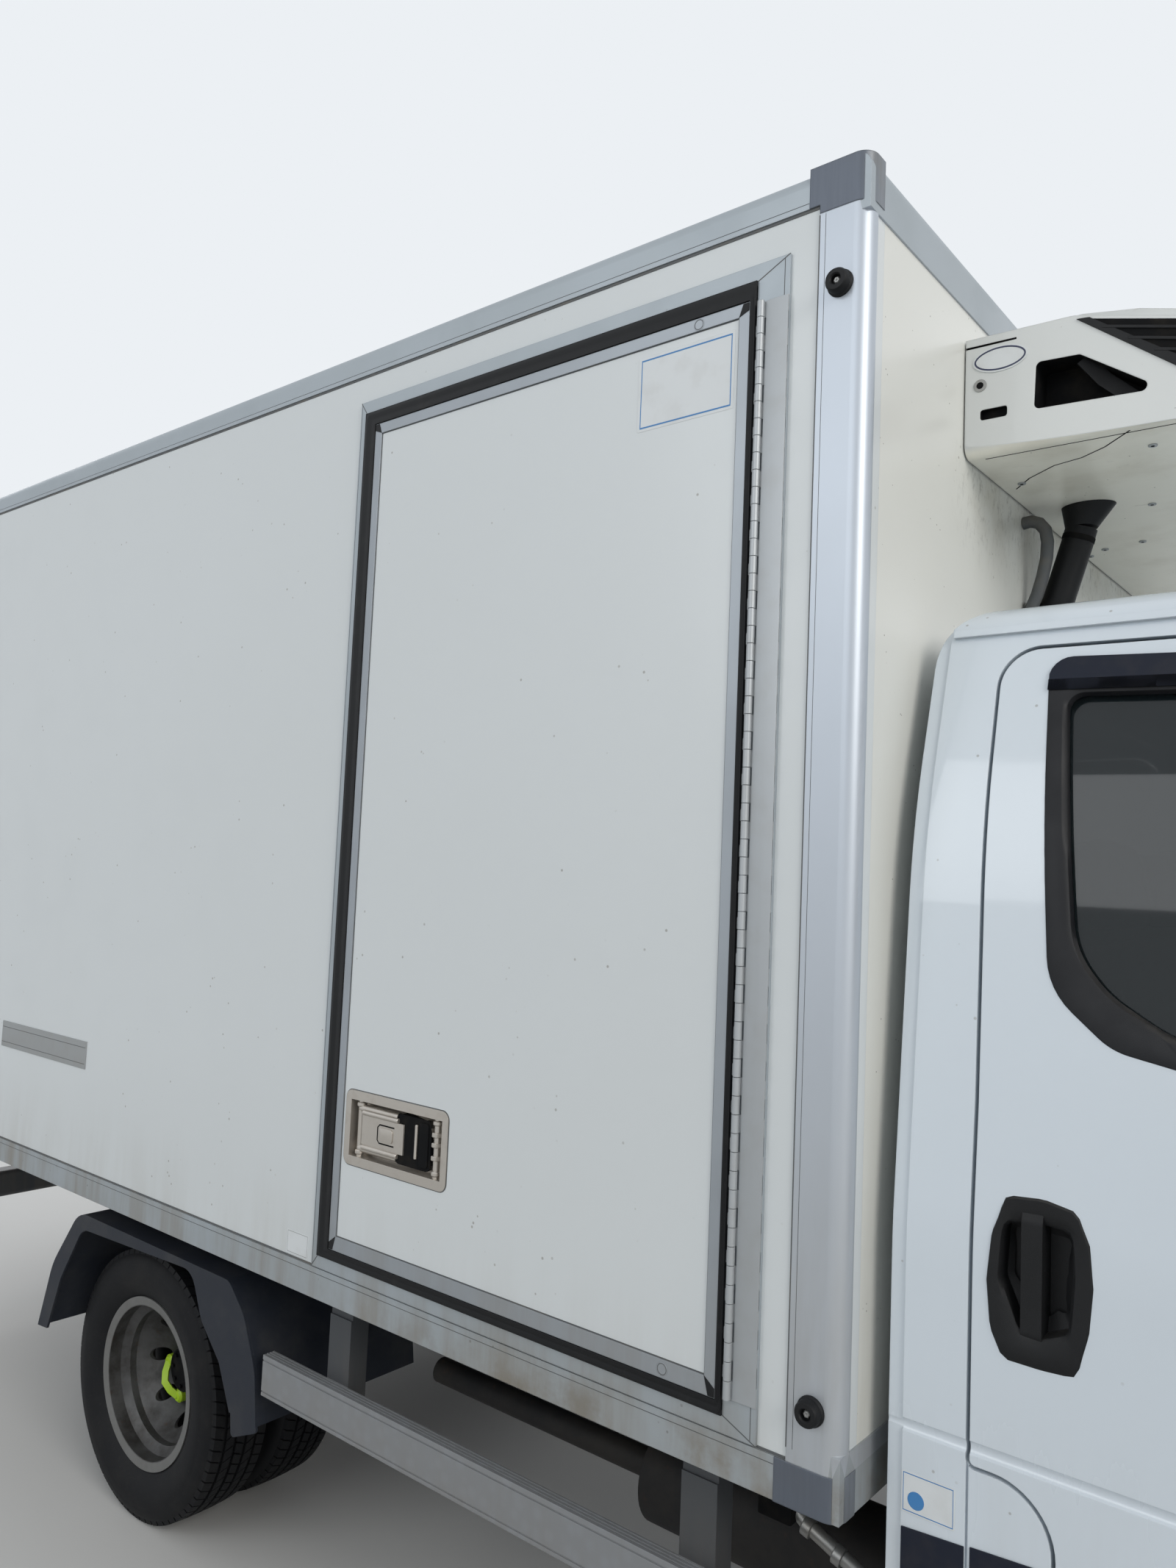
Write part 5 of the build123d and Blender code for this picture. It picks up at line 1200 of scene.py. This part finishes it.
def make_unit_details(f):
    """Blank badge plate, lock, joints, screws, straps, cheeks with ribs, brow, boot bands and pipe."""
    shape = Shape()
    skin = skin_face(["unit_housing"], -1)
    badge = circle((64, 2773), 50, 40, 0.5)
    shape.material(0).slab(badge, skin, (-1, 1.6))
    shape.material(1)
    inner = offset(badge, -3)
    shape.loops([(inner, 1.4), (inner, 1.9), (offset(inner, -3), 1.9), (offset(inner, -3), 1.4)], skin)
    shape.material(2).disc((28, 2728), 12, skin, (-1, 1.4), 24)
    shape.material(3).disc((28, 2728), 6.5, skin, (1, 1.8), 20)
    under = foot_face(UNIT_FOOT)
    joint = [(23, -457), (64, -505), (125, -550), (179, -564), (228, -596), (272, -640), (284, -652)]
    shape.line(joint, 2.4, under, (-0.3, 0.5))
    shape.line([(30, -650), (520, -636)], 2, under, (-0.3, 0.5))
    for centre in ((43, -485), (223, -224), (144, 37), (13, 100), (57, 59), (380, -300), (380, 120),
                   (300, -560)):
        shape.material(4).disc(centre, 8, under, (-0.3, 2.4), 20, 0.6 * MM)
        shape.material(3).disc(centre, 3.5, under, (2, 2.6), 12)
    shape.material(5)
    for way in (-1, 1):
        strap = [at(206, way * 652, UNIT_FOOT + 150), at(238, way * 640, UNIT_FOOT + 108),
                 at(286, way * 632, UNIT_FOOT + 64)]
        shape.tube(strap, 0, section=oblong((-0.002, -0.014), (0.002, 0.014)))
        cheek = skin_face(["unit_housing"], way)
        shape.material(3).slab([(212, 2811), (426, 2755), (426, 2656)], cheek, (-1, 0.6))
        shape.material(5).slab([(198, 2813), (220, 2811), (428, 2659), (428, 2636)], cheek, (-1, 2.6),
                               0.6 * MM)
        for n in (1, 2, 3, 4):
            start = 200 + 42 * n
            shape.line([(start, 2821 - 20 * n - 0.262 * (start - 193)), (426, 2760 - 20 * n)], 5, cheek,
                       (0.4, 3))
        brow = [(186, 2821), (430, 2759), (430, 2772), (300, 2811), (204, 2828), (186, 2828)]
        span = sorted((way * 610 * MM, way * 655 * MM))
        shape.material(6).prism([(at(x, 0, z).x, z * MM) for x, z in brow], "XZ", span, 1.5 * MM)
    shape.write("unit_details", "root", "white_panel", f["print_white"], f["print_navy"], f["zinc"],
                f["dark"], f["satin"],
                f["plastic"], f["unit"])
    shape = Shape()
    for z in (2528, 2380):
        above, _ = section_middle("unit_hose", z + 6)
        below, radius = section_middle("unit_hose", z - 6)
        way = (above - below).normalized()
        shape.rod(below, above, radius * way.z * 1.03, 32, 0.001)
    shape.material(1)
    hose = [(-3, -336, 2560), (14, -336, 2562), (30, -334, 2556), (42, -332, 2540), (46, -330, 2515),
            (44, -329, 2480),
            (36, -329, 2440), (26, -329, 2405), (13, -329, 2374), (-3, -329, 2350)]
    shape.tube([at(*p) for p in hose], 0.013, 20)
    shape.write("unit_hose_bands", "root", "black_rubber", f["dark"], f["seam"])


def cab_side(way):
    """Places on the side of the cab, also across its window, where the ray would miss."""
    names = ["cab_shell", "cab_door_left" if way > 0 else "cab_door_right", "front_wings"]
    skin = skin_face(names, way)

    def where(x, z, out):
        if 215 <= x <= 1200 and 1450 < z < 2172:
            level, post, foot = skin(x, 1440, 0), skin(200, z, 0), skin(200, 1440, 0)
            return Vector((at(x, 0, z).x, level.y + post.y - foot.y + way * out * MM, z * MM))
        return skin(x, z, out)
    return where


def at_angles(points, centre, count=60):
    """Points of an outline at even angles round a centre."""
    result = []
    for n in range(count):
        way = Vector((cos(tau * n / count), sin(tau * n / count)))
        best = 0
        for i, b in enumerate(points):
            a = Vector(points[i - 1])
            span = Vector(b) - a
            cross = way.x * span.y - way.y * span.x
            if abs(cross) < 1e-9:
                continue
            start = a - Vector(centre)
            reach = (start.x * span.y - start.y * span.x) / cross
            share = (start.x * way.y - start.y * way.x) / cross
            if reach > 0 and -1e-6 <= share <= 1 + 1e-6:
                best = max(best, reach)
        result.append((centre[0] + way.x * best, centre[1] + way.y * best))
    return result


WINDOW_RIM = [(254, 1640), (345, 1562), (458, 1542), (1190, 1462), (1192, 1692), (902, 2126), (222, 2160)]
WINDOW_GLASS = [(290, 1700), (338, 1640), (430, 1584), (1155, 1502), (1155, 1684), (880, 2068), (256, 2092)]
RIM_RADII = [110, 90, 200, 50, 60, 60, 34]
GLASS_RADII = [150, 150, 200, 50, 60, 60, 24]
RIM_LENGTH = 40
VISOR_FOOT = ((222, 2103), (900, 2080))


def make_cab_trim(f, side):
    """Window rubber with the dark band along its top, and the handle's surround."""
    way = 1 if side == "left" else -1
    where = cab_side(way)
    shape = Shape()
    rim = rounded(WINDOW_RIM, RIM_RADII)
    glass = rounded(WINDOW_GLASS, GLASS_RADII)
    counts = [max(1, round(hypot(p[0] - rim[i - 1][0], p[1] - rim[i - 1][1]) / RIM_LENGTH))
              for i, p in enumerate(rim)]

    def between(share):
        outline = [(a[0] + (b[0] - a[0]) * share, a[1] + (b[1] - a[1]) * share) for a, b in zip(rim, glass)]
        return subdivided(outline, counts)

    rows = [(0, -1), (0.04, 1.4), (0.15, 2.2), (0.75, 1.6), (0.92, -3), (1, -12), (0.96, -19), (0.2, -14)]
    shape.loops([(between(share), out) for share, out in rows], where)
    shape.material(1)
    (x0, z0), (x1, z1) = VISOR_FOOT
    upper, lower = [], []
    for x, z in between(0.03):
        foot = z0 + (z1 - z0) * (x - x0) / (x1 - x0)
        if z > foot + 2:
            upper.append((x, z))
            lower.append((x, foot))
    start = min(range(len(upper)), key=lambda n: upper[n][0] + upper[n][1])
    upper, lower = upper[start:] + upper[:start], lower[start:] + lower[:start]
    shape.strip(upper, lower, where, (1.2, 4.0))
    shape.material(2)
    cup = at_angles(rounded(HANDLE_CUP, 14), HANDLE_MIDDLE)
    well = at_angles(rounded(HANDLE_WELL, 14), HANDLE_MIDDLE)

    def handle(share):
        return [(a[0] + (b[0] - a[0]) * share, a[1] + (b[1] - a[1]) * share) for a, b in zip(cup, well)]

    base = [skin.y for skin in (where(x, z, 0) for x, z in offset(cup, 7))]
    rows = [(handle(-0.12), 0.2), (handle(-0.02), 2.6), (handle(0.4), 2.2), (handle(0.8), 0.4),
            (handle(1), -5),
            (handle(1.08), -30), (handle(1.6), -36), (handle(5.0), -36)]
    points, faces, count = [], [], len(cup)
    for outline, out in rows:
        points += [Vector((at(x, 0, z).x, base[i] + way * out * MM, z * MM))
                   for i, (x, z) in enumerate(outline)]
    for n in range(len(rows) - 2):
        faces += [(n * count + i, n * count + (i + 1) % count, (n + 1) * count + (i + 1) % count,
                   (n + 1) * count + i)
                  for i in range(count)]
    shape.add(points[:-count], faces)
    shape.write("cab_door_trim_" + side, "cab_door_" + side, "black_plastic", f["trim"], f["navy"],
                f["plastic"])


def make_cab_body_trim(f):
    """Dark sill cladding on both sides, and on the right the blank sticker with its blue spot."""
    shape = Shape()
    for way in (-1, 1):
        skin = skin_face(["cab_shell"], way)
        shape.material(0)
        for low, high, top in ((58, 154, (819, 826)), (163, 280, (829, 838))):
            shape.slab([(low, 446), (high, 446), (high, top[1]), (low, top[0])], skin, (-0.5, 2.5),
                       0.8 * MM)
    skin = skin_face(["cab_shell"], -1)
    shape.material(1).slab(rounded(oblong((57, 841), (140, 901)), 3), skin, (-0.2, 0.5))
    shape.material(2).line(oblong((60, 844), (137, 898)), 1.6, skin, (0.4, 0.7), True)
    shape.disc((80, 862), 13, skin, (0.4, 0.7), 28)
    shape.write("cab_shell_trim", "root", "black_plastic", f["navy"], f["print_white"], f["print_blue"])


NUTS = 6
REAR_FACE = 798.5
REAR_NUT_CIRCLE = 96
NUT_TURN = radians(-174)
FRONT_FACE = 918.5
FRONT_NUT_CIRCLE = 70
VALVE_RADIUS = 0.005


def add_nuts(shape, centre, way, face, radius, heights=(22, 29)):
    for n in range(NUTS):
        angle = NUT_TURN + tau * n / NUTS
        x, z = centre.x / MM + radius * cos(angle), centre.z / MM + radius * sin(angle)
        spot = [Vector((x * MM, way * (face + h) * MM, z * MM)) for h in (-1, 4, heights[0], heights[1])]
        shape.rod(spot[0], spot[1], 0.0165, 20, 0.0008)
        shape.rod(spot[1], spot[2], 0.0145, 6, 0.0012)
        shape.rod(spot[2], spot[3], 0.0075, 14, 0.0008)


def make_wheel_details(f):
    """Nuts, hub ends, valves, and the two linked nut caps on the right twin wheels."""
    for side, way in (("left", 1), ("right", -1)):
        centre = axle_middle("rear_tyres_" + side)
        shape = Shape()
        add_nuts(shape, centre, way, REAR_FACE, REAR_NUT_CIRCLE, (34, 44))
        turn = Matrix.Translation(centre) @ Matrix.Rotation(0 if way > 0 else pi, 4, "X")
        shape.material(1)
        cap = [(0, 866), (34, 866), (36, 863.6), (48, 863.6), (52, 868), (57, 866), (58, 858), (58, 840),
               (55, 838)]
        shape.lathe([(r * MM, y * MM) for r, y in cap], turn, 40)
        for n in range(8):
            angle = tau * n / 8
            spot = Vector((centre.x + 0.043 * cos(angle), 0, centre.z + 0.043 * sin(angle)))
            shape.rod(spot + Vector((0, way * 0.86, 0)), spot + Vector((0, way * 0.8705, 0)), 0.0055, 6,
                      0.0006)
        shape.material(2)
        root, tip = Vector((0.16, way * 0.82, 0.06)), Vector((0.152, way * 0.905, 0.057))
        shape.rod(centre + root, centre + tip, VALVE_RADIUS, 12, 0.001)
        if side == "right":
            shape.material(3)
            spots = []
            for angle in (NUT_TURN, NUT_TURN + tau / NUTS):
                x = centre.x + REAR_NUT_CIRCLE * MM * cos(angle)
                z = centre.z + REAR_NUT_CIRCLE * MM * sin(angle)
                spots.append(Vector((x, 0, z)))
                shape.rod(spots[-1] - Vector((0, 0.81, 0)), spots[-1] - Vector((0, 0.852, 0)), 0.0185, 24,
                          0.006)
            path = []
            for share, apart, out in ((0, 0, 0.848), (0.25, 0.005, 0.862), (0.5, 0.007, 0.87),
                                      (0.75, 0.005, 0.862),
                                      (1, 0, 0.848)):
                spot = spots[0].lerp(spots[1], share)
                away = (spot - centre).normalized()
                path.append(spot + away * apart - Vector((0, out, 0)))
            shape.tube(path, 0, section=oblong((-0.009, -0.004), (0.009, 0.004)))
        shape.write("rear_wheel_details_" + side, "rear_wheels_" + side, "wheel_steel", f["iron"],
                    f["dark"], f["plastic"],
                    f["lime"])
        centre = axle_middle("front_tyre_" + side)
        shape = Shape()
        add_nuts(shape, centre, way, FRONT_FACE, FRONT_NUT_CIRCLE, (18, 22))
        turn = Matrix.Translation(centre) @ Matrix.Rotation(0 if way > 0 else pi, 4, "X")
        shape.material(1)
        cap = [(0, 944), (26, 943), (38, 938), (43, 930), (46.5, 922), (46.5, 917)]
        shape.lathe([(r * MM, y * MM) for r, y in cap], turn, 40)
        shape.material(2)
        root, tip = Vector((0.168, way * 0.905, 0.05)), Vector((0.158, way * 0.94, 0.047))
        shape.rod(centre + root, centre + tip, VALVE_RADIUS, 12, 0.001)
        shape.write("front_wheel_details_" + side, "front_wheel_" + side, "wheel_steel", f["iron"],
                    f["dark"], f["plastic"])


# Front of the cab
def ahead_face(names):
    """Places on the front of some CAD nodes, found by a ray from ahead: (y, z, how far out)."""
    tree = surface_tree(names)

    def where(y, z, out):
        for shift in (0, 3, -3, 8, -8, 15, -15, 25, -25, 40, -40):
            hit = tree.ray_cast(at(4500, y, z + shift), Vector((-1, 0, 0)))
            if hit[0]:
                return Vector((hit[0].x + out * MM, y * MM, z * MM))
        raise ValueError("no surface at %s, %s" % (y, z))
    return where


def make_front_details(f):
    """Lamp bowls and bulbs, mesh and radiator behind the grille, fog lamps, blank plate and wipers."""
    lens = ahead_face(["headlamps"])
    shape = Shape()
    for way in (-1, 1):
        for y, z, radius in ((575, 868, 52), (705, 900, 62), (822, 910, 38)):
            middle = lens(way * y, z, 0)
            along = lens(way * (y - 15), z, 0) - lens(way * (y + 15), z, 0)
            rise = lens(way * y, z + 15, 0) - lens(way * y, z - 15, 0)
            normal = along.cross(rise).normalized()
            if normal.x < 0:
                normal = -normal
            turn = pointed(middle - normal * 0.036, normal)
            r = radius * MM
            bowl = [(0, 0), (r * 0.3, 0.001), (r * 0.62, 0.006), (r * 0.88, 0.017), (r, 0.028),
                    (r * 1.06, 0.028),
                    (r * 1.06, 0.025), (r * 0.9, 0.012), (r * 0.6, 0.001), (0, -0.003)]
            shape.material(1 if radius == 38 else 0).lathe(bowl, turn, 32)
            shape.material(2).lathe([(0, 0.022), (0.006, 0.021), (0.009, 0.016), (0.009, 0.003),
                                     (0, 0.003)], turn, 16)
    shape.write("headlamp_bowls", "root", "lamp", f["chrome"], f["amber"], f["print_white"])
    grille = ahead_face(["front_grille"])
    shape = Shape()
    foot, top = 746, 994
    for n in range(44):
        y = -430 + 860 * n / 43
        shape.tube([grille(y, foot, -30), grille(y, top, -30)], 0,
                   section=oblong((-0.0015, -0.003), (0.0015, 0.003)))
    for z in range(756, 990, 18):
        path = []
        for n in range(9):
            y = -430 + 860 * n / 8
            share = (z - foot) / (top - foot)
            path.append(grille(y, foot, -32).lerp(grille(y, top, -32), share))
        shape.tube(path, 0, section=oblong((-0.0015, -0.003), (0.0015, 0.003)))
    shape.block(at(2140, -425, 600), at(2160, 425, 1030), 2 * MM)
    for n in range(24):
        y = -414 + 36 * n
        shape.block(at(2158, y - 6, 610), at(2170, y + 6, 1020))
    shape.write("grille_mesh", "root", "black_plastic", f["dark"])
    bumper = ahead_face(["front_bumper"])
    shape = Shape()
    plate_x = (bumper(0, 630, 0).x - BOX_FRONT) / MM
    plate = front_face(plate_x)
    shape.material(0).slab(rounded(oblong((-270, 572), (270, 688)), 10), plate, (-14, 3), 0.8 * MM)
    shape.material(1).slab(rounded(oblong((-260, 578), (260, 682)), 6), plate, (2.8, 4.2), 0.4 * MM)
    for y in (-170, 170):
        shape.material(0).disc((y, 630), 7, plate, (4, 6), 16)
    for way in (-1, 1):
        middle = bumper(way * 640, 480, 0)
        turn = Matrix.Translation(middle) @ Matrix.Rotation(-pi / 2 + way * 0.35, 4, "Z")
        shape.material(2).lathe([(0.058, -0.02), (0.062, 0.004), (0.054, 0.006), (0.05, -0.004),
                                 (0, -0.004)], turn, 32)
        shape.material(3).lathe([(0, 0.002), (0.03, 0.0015), (0.048, -0.003), (0.05, -0.006)], turn, 32)
        shape.material(4).lathe([(0, 0.0035), (0.012, 0.003), (0.016, 0.001)], turn, 20)
        spot = bumper(way * 330, 395, 0)
        shape.material(2).rod(spot - Vector((0.01, 0, 0)), spot + Vector((0.004, 0, 0)), 0.02, 24, 0.002)
    shape.write("bumper_fittings", "root", "black_plastic", f["plastic"], f["plate"], f["dark"],
                f["chrome"], f["clear"])
    screen = ahead_face(["windscreen", "cab_shell"])
    shape = Shape()
    for pivot, reach in ((-560, 560), (30, 560)):
        start = screen(pivot, 1478, 6)
        arm = [start, screen(pivot + reach * 0.25, 1512, 24), screen(pivot + reach * 0.55, 1532, 20)]
        shape.tube(arm, 0, section=oblong((-0.006, -0.004), (0.006, 0.004)))
        shape.rod(start - Vector((0.012, 0, 0)), start + Vector((0.01, 0, 0.006)), 0.016, 20, 0.003)
        blade = [screen(pivot + reach * share, 1520 + 26 * share, 9)
                 for share in (0.08, 0.3, 0.55, 0.8, 1.05)]
        shape.tube(blade, 0, section=oblong((-0.004, -0.007), (0.004, 0.007)))
    shape.write("wipers", "root", "black_plastic", f["plastic"])


def make_mirror_glass(f, side):
    way = 1 if side == "left" else -1
    shape = Shape()
    where = rear_face(1185)
    for foot, top, radius in ((1560, 1772, 16), (1460, 1544, 14)):
        pane = rounded(oblong((way * 1128, foot), (way * 1232, top)), radius)
        shape.slab(pane, where, (-1, 2.2), 0.6 * MM)
    shape.write("mirror_glass_" + side, "cab_door_" + side, "glass", f["mirror"])


# Rear end
REAR_LEAF = ((5, 936), (1034, 2894))
LOCK_ROD_SHARES = (0.28, 0.80)
LOCK_LEVELS = (0.03, 0.25, 0.5, 0.75, 0.97)
ROD_FACE = 4020.5


def make_rear_details(f):
    """Gaskets, bolts and handle grips on the rear doors; lamp cells and a blank plate."""
    low, high = REAR_LEAF
    for side, way in (("left", 1), ("right", -1)):
        shape = Shape()

        def where(y, z, out):
            return at(-4000 - out, way * y, z)

        shape.material(0)
        rings = []
        for share, out in ((0, -1), (0, 2.5), (0.2, 4.4), (0.6, 3.4), (0.95, 4), (1, -0.5)):
            inset = 26 * share
            rings.append((rounded(oblong((low[0] + inset, low[1] + inset),
                                         (high[0] - inset, high[1] - inset)), 8), out))
        shape.loops(rings, where)
        shape.material(1)
        for share in LOCK_ROD_SHARES:
            y = low[0] + share * (high[0] - low[0])
            for level in LOCK_LEVELS:
                z = low[1] + level * (high[1] - low[1])
                for dy in (-24, 24):
                    shape.disc((y + dy, z), 6, where, (20, 24), 6)
            z = low[1] + 330
            shape.material(0).slab(rounded(oblong((y - 204, z - 17), (y - 96, z + 17)), 14), where,
                                   (16, 33), 3 * MM)
            shape.material(1).slab(rounded(oblong((y - 190, z - 34), (y - 150, z - 12)), 5), where,
                                   (-1, 14), 1 * MM)
        for height in rear_hinge_heights():
            for dy in (-118, -76):
                shape.disc((high[0] + dy, height + 14), 6, where, (39, 43), 6)
                shape.disc((high[0] + dy, height - 14), 6, where, (39, 43), 6)
        shape.material(2)
        inner = rounded(oblong((low[0] + 30, low[1] + 30), (high[0] - 30, high[1] - 30)), 4)
        shape.line(inner, 1.4, where, (-0.3, 0.4), True)
        shape.write("rear_door_fittings_" + side, "rear_door_" + side, "black_rubber", f["rubber"],
                    f["zinc"], f["seam"])
    shape = Shape()
    lamp = rear_face(-3985)
    for way in (-1, 1):
        cells = ((606, 700, 2), (706, 856, 0), (862, 994, 1))
        for inner, outer, colour in cells:
            sides = sorted((way * inner, way * outer))
            shape.material(colour).slab(rounded(oblong((sides[0], 647), (sides[1], 753)), 10), lamp,
                                        (-1, 4), 1.5 * MM)
        shape.material(0).slab(rounded(oblong((way * 1040 - 30, 2930), (way * 1040 + 30, 2950)), 8),
                               rear_face(-4000),
                               (-1, 12), 2 * MM)
    shape.material(3).slab(rounded(oblong((-262, 396), (262, 510)), 8), rear_face(-3940), (-2, 3), 0.5 * MM)
    shape.material(4).slab(rounded(oblong((-254, 402), (254, 504)), 6), rear_face(-3940), (2.8, 4),
                           0.4 * MM)
    shape.write("rear_lamp_cells", "root", "rear_lamp", f["red"], f["amber"], f["clear"], f["plastic"],
                f["plate"])


def rear_hinge_heights():
    opening = (930, 2900)
    pitch = (opening[1] - opening[0] - 400) / 3
    return [opening[0] + 200 + n * pitch for n in range(4)]


# Below and inside
EVAPORATOR_REAR = -500
FRAME_PIPES = (([(-3850, 752), (-2700, 748), (-1200, 752), (300, 748)], 404, 0.007, 10),
               ([(-2400, 600), (-1500, 604), (200, 600)], 392, 0.005, 8))


def make_under_details(f):
    """Tank straps and cap, bolt heads and pipes on the frame, and the cable box."""
    shape = Shape()
    for x in (-1040, -470):
        section = rounded(oblong((461, 439), (813, 741)), 61)
        grown = offset(section, 4)
        shape.loops([(section, -20), (grown, -20), (grown, 20), (section, 20)], front_face(x))
    shape.material(1).rod(at(-1100, 640, 735), at(-1100, 640, 768), 0.045, 32, 0.006)
    shape.write("tank_fittings", "root", "chassis_black", f["zinc"], f["dark"])
    shape = Shape()
    for way in (-1, 1):
        for x in range(-3900, 1900, 290):
            for z in (640, 730):
                spot = at(x, way * 432, z)
                shape.rod(spot - Vector((0, way * 0.002, 0)), spot + Vector((0, way * 0.009, 0)), 0.011, 6,
                          0.001)
        for path, y, radius, steps in FRAME_PIPES:
            shape.tube([at(x, way * y, z) for x, z in path], radius, steps)
    shape.write("frame_fittings", "root", "chassis_black", f["chassis"])
    shape = Shape()
    shape.material(0).block(at(-262, -880, 668), at(-196, -800, 742), 4 * MM)
    shape.block(at(-250, -868, 742), at(-210, -812, 832), 2 * MM)
    shape.material(1)
    hose = [(-214, -846, 690), (-176, -852, 668), (-120, -846, 640), (-64, -830, 606), (-4, -812, 596),
            (40, -800, 610)]
    shape.tube([at(*p) for p in hose], 0.013, 16)
    for n in range(3):
        x, y, z = hose[n]
        shape.rod(at(x - 8, y, z), at(x + 8, y, z - 5), 0.017, 20, 0.001)
    shape.write("cable_box", "root", "black_plastic", f["dark"], f["zinc"])


def make_dashboard_details(f):
    """Instrument hood, vents and switch panel, with no print."""
    shape = Shape()
    shape.block(at(1330, 400, 1396), at(1480, 720, 1448), 14 * MM)
    shape.material(1).block(at(1326, 420, 1404), at(1334, 700, 1440), 2 * MM)
    for y in (-820, -300, 250, 820):
        shape.material(0).block(at(1352, y - 60, 1330), at(1372, y + 60, 1382), 4 * MM)
        shape.material(1)
        for n in range(4):
            shape.block(at(1350, y - 52, 1336 + n * 11), at(1356, y + 52, 1341 + n * 11))
    shape.material(1).block(at(1340, -110, 1226), at(1356, 130, 1318), 4 * MM)
    shape.write("dashboard_fittings", "root", "interior_grey", f["interior"], f["dark"])


def make_evaporator_details(f):
    """Two fan guards on the evaporator's rear face."""
    shape = Shape()
    for y in (-300, 300):
        turn = Matrix.Translation(at(EVAPORATOR_REAR, y, 2872)) @ Matrix.Rotation(pi / 2, 4, "Z")
        for radius in (0.024, 0.02, 0.016, 0.012, 0.008):
            ring = [(radius - 0.0008, 0.002), (radius + 0.0008, 0.002), (radius + 0.0008, 0.004),
                    (radius - 0.0008, 0.004)]
            shape.lathe(ring, turn, 32, closed=True)
        shape.lathe([(0, 0.001), (0.026, 0.001), (0.026, 0.0), (0, 0.0)], turn, 32)
    shape.write("evaporator_guards", "root", "white_panel", f["dark"])


# Seats: crowned pads with sewn channels and piping
PAD_CUTS = 26
PAD_SQUARENESS = 7
SEAT_LEAN = -0.204
SEAT_PLACES = (("driver", 590, 512), ("bench_inner", -116, 478), ("bench_outer", -604, 478))


def make_pad(f, name, size, place, lean, channels, piping=True):
    """A cushion of the given depth, width and thickness, crowned, pulled in at its seams."""
    shape = Shape()
    turn = Matrix.Translation(at(*place)) @ Matrix.Rotation(lean, 4, "Y")
    half = [s * MM / 2 for s in size]
    bmesh.ops.create_cube(shape.mesh, size=2)
    bmesh.ops.subdivide_edges(shape.mesh, edges=shape.mesh.edges[:], cuts=PAD_CUTS, use_grid_fill=True)
    for vert in shape.mesh.verts:
        u, v, w = vert.co
        p = vert.co / sum(abs(c) ** PAD_SQUARENESS for c in (u, v, w)) ** (1 / PAD_SQUARENESS)
        crown = (1 - p.x ** 2) * (1 - p.y ** 2)
        p.z *= 0.86 + 0.14 * crown
        p.x *= 1 - 0.025 * (1 - p.y ** 2) * (1 - abs(w))
        p.y *= 1 - 0.02 * (1 - p.x ** 2) * (1 - abs(w))
        if w > 0.3:
            dent = max(2.718 ** (-((u - c) / 0.035) ** 2) for c in channels)
            side = 2.718 ** (-((abs(v) - 0.7) / 0.03) ** 2)
            p.z -= min(0.012 / half[2], 0.16) * max(dent * (abs(v) < 0.72), side) * min(1, (w - 0.3) * 3)
            p.z += 0.05 * max(0, abs(v) - 0.74) * 3 * (1 - abs(u) ** 4)
        vert.co = turn @ Vector((p.x * half[0], p.y * half[1], min(p.z, 1) * half[2]))
    for face in shape.mesh.faces:
        local = turn.inverted() @ face.calc_center_median()
        face.material_index = 1 if abs(local.y) > half[1] * 0.7 else 0
    if piping:
        shape.material(2)
        path = []
        for n in range(64):
            a = tau * n / 64
            c, s = cos(a), sin(a)
            reach = (abs(c) ** PAD_SQUARENESS + abs(s) ** PAD_SQUARENESS) ** (-1 / PAD_SQUARENESS)
            path.append(turn @ Vector((c * reach * half[0] * 0.985, s * reach * half[1] * 0.985,
                                       half[2] * 0.5)))
        shape.tube(path, 0.003, 8, closed=True)
    piece = shape.write(name, "root", "seat_fabric", f["seat"], f["bolster"], f["piping"], smooth=60)


def make_seats(f):
    """Hard bases and, on them, a cushion, back and head pad for each place."""
    shape = Shape()
    for low, high in ((330, 850), (-850, 130)):
        shape.block(at(336, low + 14, 850), at(850, high - 14, 1118), 12 * MM)
        shape.block(at(300, low + 6, 1118), at(856, high - 6, 1140), 6 * MM)
        tilt = [(306, 1136), (330, 1136), (196, 1846), (176, 1846)]
        shape.prism([(at(x, 0, z).x, z * MM) for x, z in tilt], "XZ", ((low + 8) * MM, (high - 8) * MM),
                    5 * MM)
    shape.rod(at(380, 322, 1160), at(380, 330, 1160), 0.03, 28, 0.002)
    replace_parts(shape.write("seat_bases", "root", "seat_fabric", f["interior"]), "seats")
    upright = pi / 2 + SEAT_LEAN
    for name, y, width in SEAT_PLACES:
        make_pad(f, name + "_cushion", (548, width, 118), (582, y, 1200), 0, (-0.45, -0.1, 0.25))
        make_pad(f, name + "_back", (470, width, 100), (331, y, 1478), upright, (-0.5, -0.15, 0.2))
        make_pad(f, name + "_head_pad", (150, 270, 88), (238, y, 1798), upright, (0,), False)


bpy.context.scene.view_settings.view_transform = "Standard"
make_camera()
make_world()
make_lights()
finishes = make_finishes()
make_floor()
dress_nodes(finishes)
paint_nodes(finishes)
make_tyres(finishes)
make_wheel_details(finishes)
make_side_seal(finishes)
make_side_door_trim(finishes)
make_side_frame_trim(finishes)
make_box_seams(finishes)
make_buffers(finishes)
make_latch_details(finishes)
make_labels(finishes)
make_unit_details(finishes)
for side in ("left", "right"):
    make_cab_trim(finishes, side)
make_cab_body_trim(finishes)
make_front_details(finishes)
for side in ("left", "right"):
    make_mirror_glass(finishes, side)
make_rear_details(finishes)
make_under_details(finishes)
make_dashboard_details(finishes)
make_evaporator_details(finishes)
make_seats(finishes)
